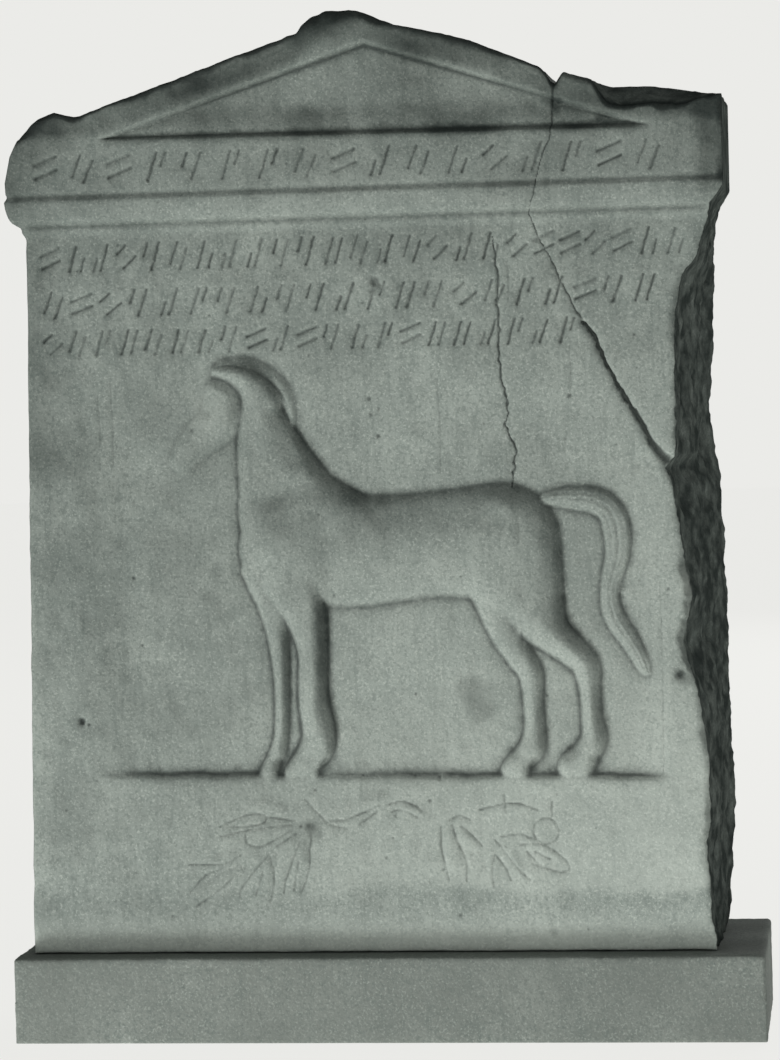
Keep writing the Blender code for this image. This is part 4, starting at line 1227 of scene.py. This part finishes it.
# %% The marble
def weathered_marble(name, stone, seed):
    """Fine marble, dressed with a claw chisel and weathered outdoors: matt, mottled and
    speckled. The speckles are a little coarser than the real grain, so that they show."""
    material = bpy.data.materials.new(name)
    material.use_nodes = True
    tree = material.node_tree
    shader = tree.nodes["Principled BSDF"]
    shader.inputs["IOR"].default_value = MARBLE_IOR
    place = (add(tree, "ShaderNodeTexCoord"), "Object")
    shift = (seed, seed, seed)

    layers = []
    for size, detail, start, full, cover, upright, code in TONES:
        spot = add(tree, "ShaderNodeMapping", {}, {
            "Vector": place, "Location": shift, "Scale": (1, 1, 1 / upright)})
        cloud = add(tree, "ShaderNodeTexNoise", {}, {
            "Vector": (spot, 0), "Scale": 1 / (size * MM), "Detail": detail, "Roughness": 0.6})
        share = add(tree, "ShaderNodeMapRange", {}, {
            "Value": (cloud, 0), "From Min": start, "From Max": full, "To Max": cover})
        layers.append((share, code))
    for layer, cover, code in WEAR_LIGHT_AND_SHADE:
        kept = add(tree, "ShaderNodeAttribute", {"attribute_name": layer})
        if layer == "grime":
            gloss = add(tree, "ShaderNodeMapRange", {}, {
                "Value": (kept, "Fac"), "From Max": 0.7, "To Min": GLOSS, "To Max": 0.0})
        share = add(tree, "ShaderNodeMapRange", {}, {"Value": (kept, "Fac"), "To Max": cover})
        layers.append((share, code))

    tone = colour(stone)
    for share, code in layers:
        mix = add(tree, "ShaderNodeMix", {"data_type": "RGBA"}, {
            MIX_SHARE: (share, 0), MIX_BELOW: tone, MIX_ABOVE: colour(code)})
        tone = (mix, MIX_RESULT)

    handled = add(tree, "ShaderNodeTexNoise", {}, {
        "Vector": place, "Scale": 1 / (3 * MM), "Detail": 3})
    rough = add(tree, "ShaderNodeMapRange", {}, {
        "Value": (handled, 0), "From Min": 0.3, "From Max": 0.7,
        "To Min": SMOOTHEST, "To Max": ROUGHEST})
    grain = add(tree, "ShaderNodeTexNoise", {}, {
        "Vector": place, "Scale": 1 / GRAIN_SIZE, "Detail": 4})
    bump = add(tree, "ShaderNodeBump", {}, {
        "Height": (grain, 0), "Strength": GRAIN_STRENGTH, "Distance": GRAIN_DEPTH})
    for socket, node, output in (("Base Color", *tone), ("Specular IOR Level", gloss, "Result"),
                                 ("Roughness", rough, "Result"), ("Normal", bump, "Normal")):
        tree.links.new(node.outputs[output], shader.inputs[socket])
    return material


stele_marble = weathered_marble("weathered marble", STONE, 0.0)
plinth_marble = weathered_marble("dressed marble", PLINTH_STONE, 1.7)
for item, material, slot, node in ((stele, stele_marble, "stele_marble", "stele"),
                                   (plinth, plinth_marble, "plinth_marble", "plinth")):
    item.data.materials.clear()
    item.data.materials.append(material)
    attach(item, "root")
    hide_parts(node)
print("materials:", stele_marble.name, plinth_marble.name)

# %% [markdown]
# ## Camera
#
# The photograph was taken from the right of the slab and a little above its middle, with
# a long lens. The camera stands at that place, found from how the slab's level and
# upright lines run together.

# %% Set up the camera
CAMERA_PLACE = Vector((0.21508, -1.64185, 0.31124))
CAMERA_AIM = Vector((-0.12916, 0.99037, -0.04994))
CAMERA_UP = Vector((0.02019, 0.05298, 0.99839))
FOCAL_PIXELS, FRAME_PIXELS = 3600, 1060

camera_right = CAMERA_AIM.cross(CAMERA_UP)
camera = bpy.data.objects.new("camera", bpy.data.cameras.new("camera"))
scene.collection.objects.link(camera)
turn = Matrix((camera_right, CAMERA_UP, -CAMERA_AIM)).transposed()
camera.matrix_world = Matrix.Translation(CAMERA_PLACE) @ turn.to_4x4()
camera.data.sensor_width = 36
camera.data.lens = FOCAL_PIXELS * camera.data.sensor_width / FRAME_PIXELS
scene.camera = camera
print("lens", round(camera.data.lens, 1), "mm")

# %% [markdown]
# ## Floor and light
#
# The relief is read by a light that comes from the lower left, so upper edges and the
# right sides of forms are dark. It stands lower than the floor, which therefore casts no
# shadow. The floor is plain and glows like a sheet on a light table, in the tone of the
# backdrop, and a weak wide light in front fills the shade.

# %% Lay the floor
BACKDROP, PAPER, SKY = "#ebebe8", "#4a4a48", "#f4f4f2"
FLOOR_GLOW, SKY_STRENGTH = 0.95, 0.25

bm = bmesh.new()
bmesh.ops.create_grid(bm, x_segments=2, y_segments=2, size=6.0)
floor_mesh = bpy.data.meshes.new("floor")
bm.to_mesh(floor_mesh)
bm.free()
floor = bpy.data.objects.new("floor", floor_mesh)
scene.collection.objects.link(floor)
paper = bpy.data.materials.new("lit matt paper")
paper.use_nodes = True
sheet = paper.node_tree.nodes["Principled BSDF"]
sheet.inputs["Base Color"].default_value = colour(PAPER)
sheet.inputs["Roughness"].default_value = 0.95
sheet.inputs["Emission Color"].default_value = colour(BACKDROP)
sheet.inputs["Emission Strength"].default_value = FLOOR_GLOW
floor_mesh.materials.append(paper)
floor.visible_shadow = False
print("floor", round(floor.dimensions.x), "m wide")

# %% Light the stone
LAMP_AIM = Vector((0, 0, 0.24))
# Each lamp's place and side in metres and its power in watts
LAMPS = (
    ("low left light", (-1.1, -0.95, -0.8), 0.5, 22),
    ("soft front light", (0.5, -1.9, 0.1), 1.6, 10),
    ("soft back light", (0.7, 1.9, 1.0), 1.6, 10),
)

for name, place, side, power in LAMPS:
    light = bpy.data.lights.new(name, "AREA")
    light.shape = "SQUARE"
    light.size, light.energy = side, power
    item = bpy.data.objects.new(name, light)
    item.location = place
    item.rotation_euler = (LAMP_AIM - Vector(place)).to_track_quat("-Z", "Y").to_euler()
    scene.collection.objects.link(item)

world = bpy.data.worlds.new("studio")
world.use_nodes = True
sky = world.node_tree
dim = sky.nodes["Background"]
dim.inputs["Color"].default_value = colour(SKY)
dim.inputs["Strength"].default_value = SKY_STRENGTH
backdrop = add(sky, "ShaderNodeBackground", {}, {"Color": colour(BACKDROP), "Strength": 1.0})
seen = add(sky, "ShaderNodeLightPath")
either = add(sky, "ShaderNodeMixShader", {}, {
    0: (seen, "Is Camera Ray"), 1: (dim, 0), 2: (backdrop, 0)})
sky.links.new(either.outputs[0], sky.nodes["World Output"].inputs["Surface"])
scene.world = world
scene.view_settings.view_transform = "Standard"
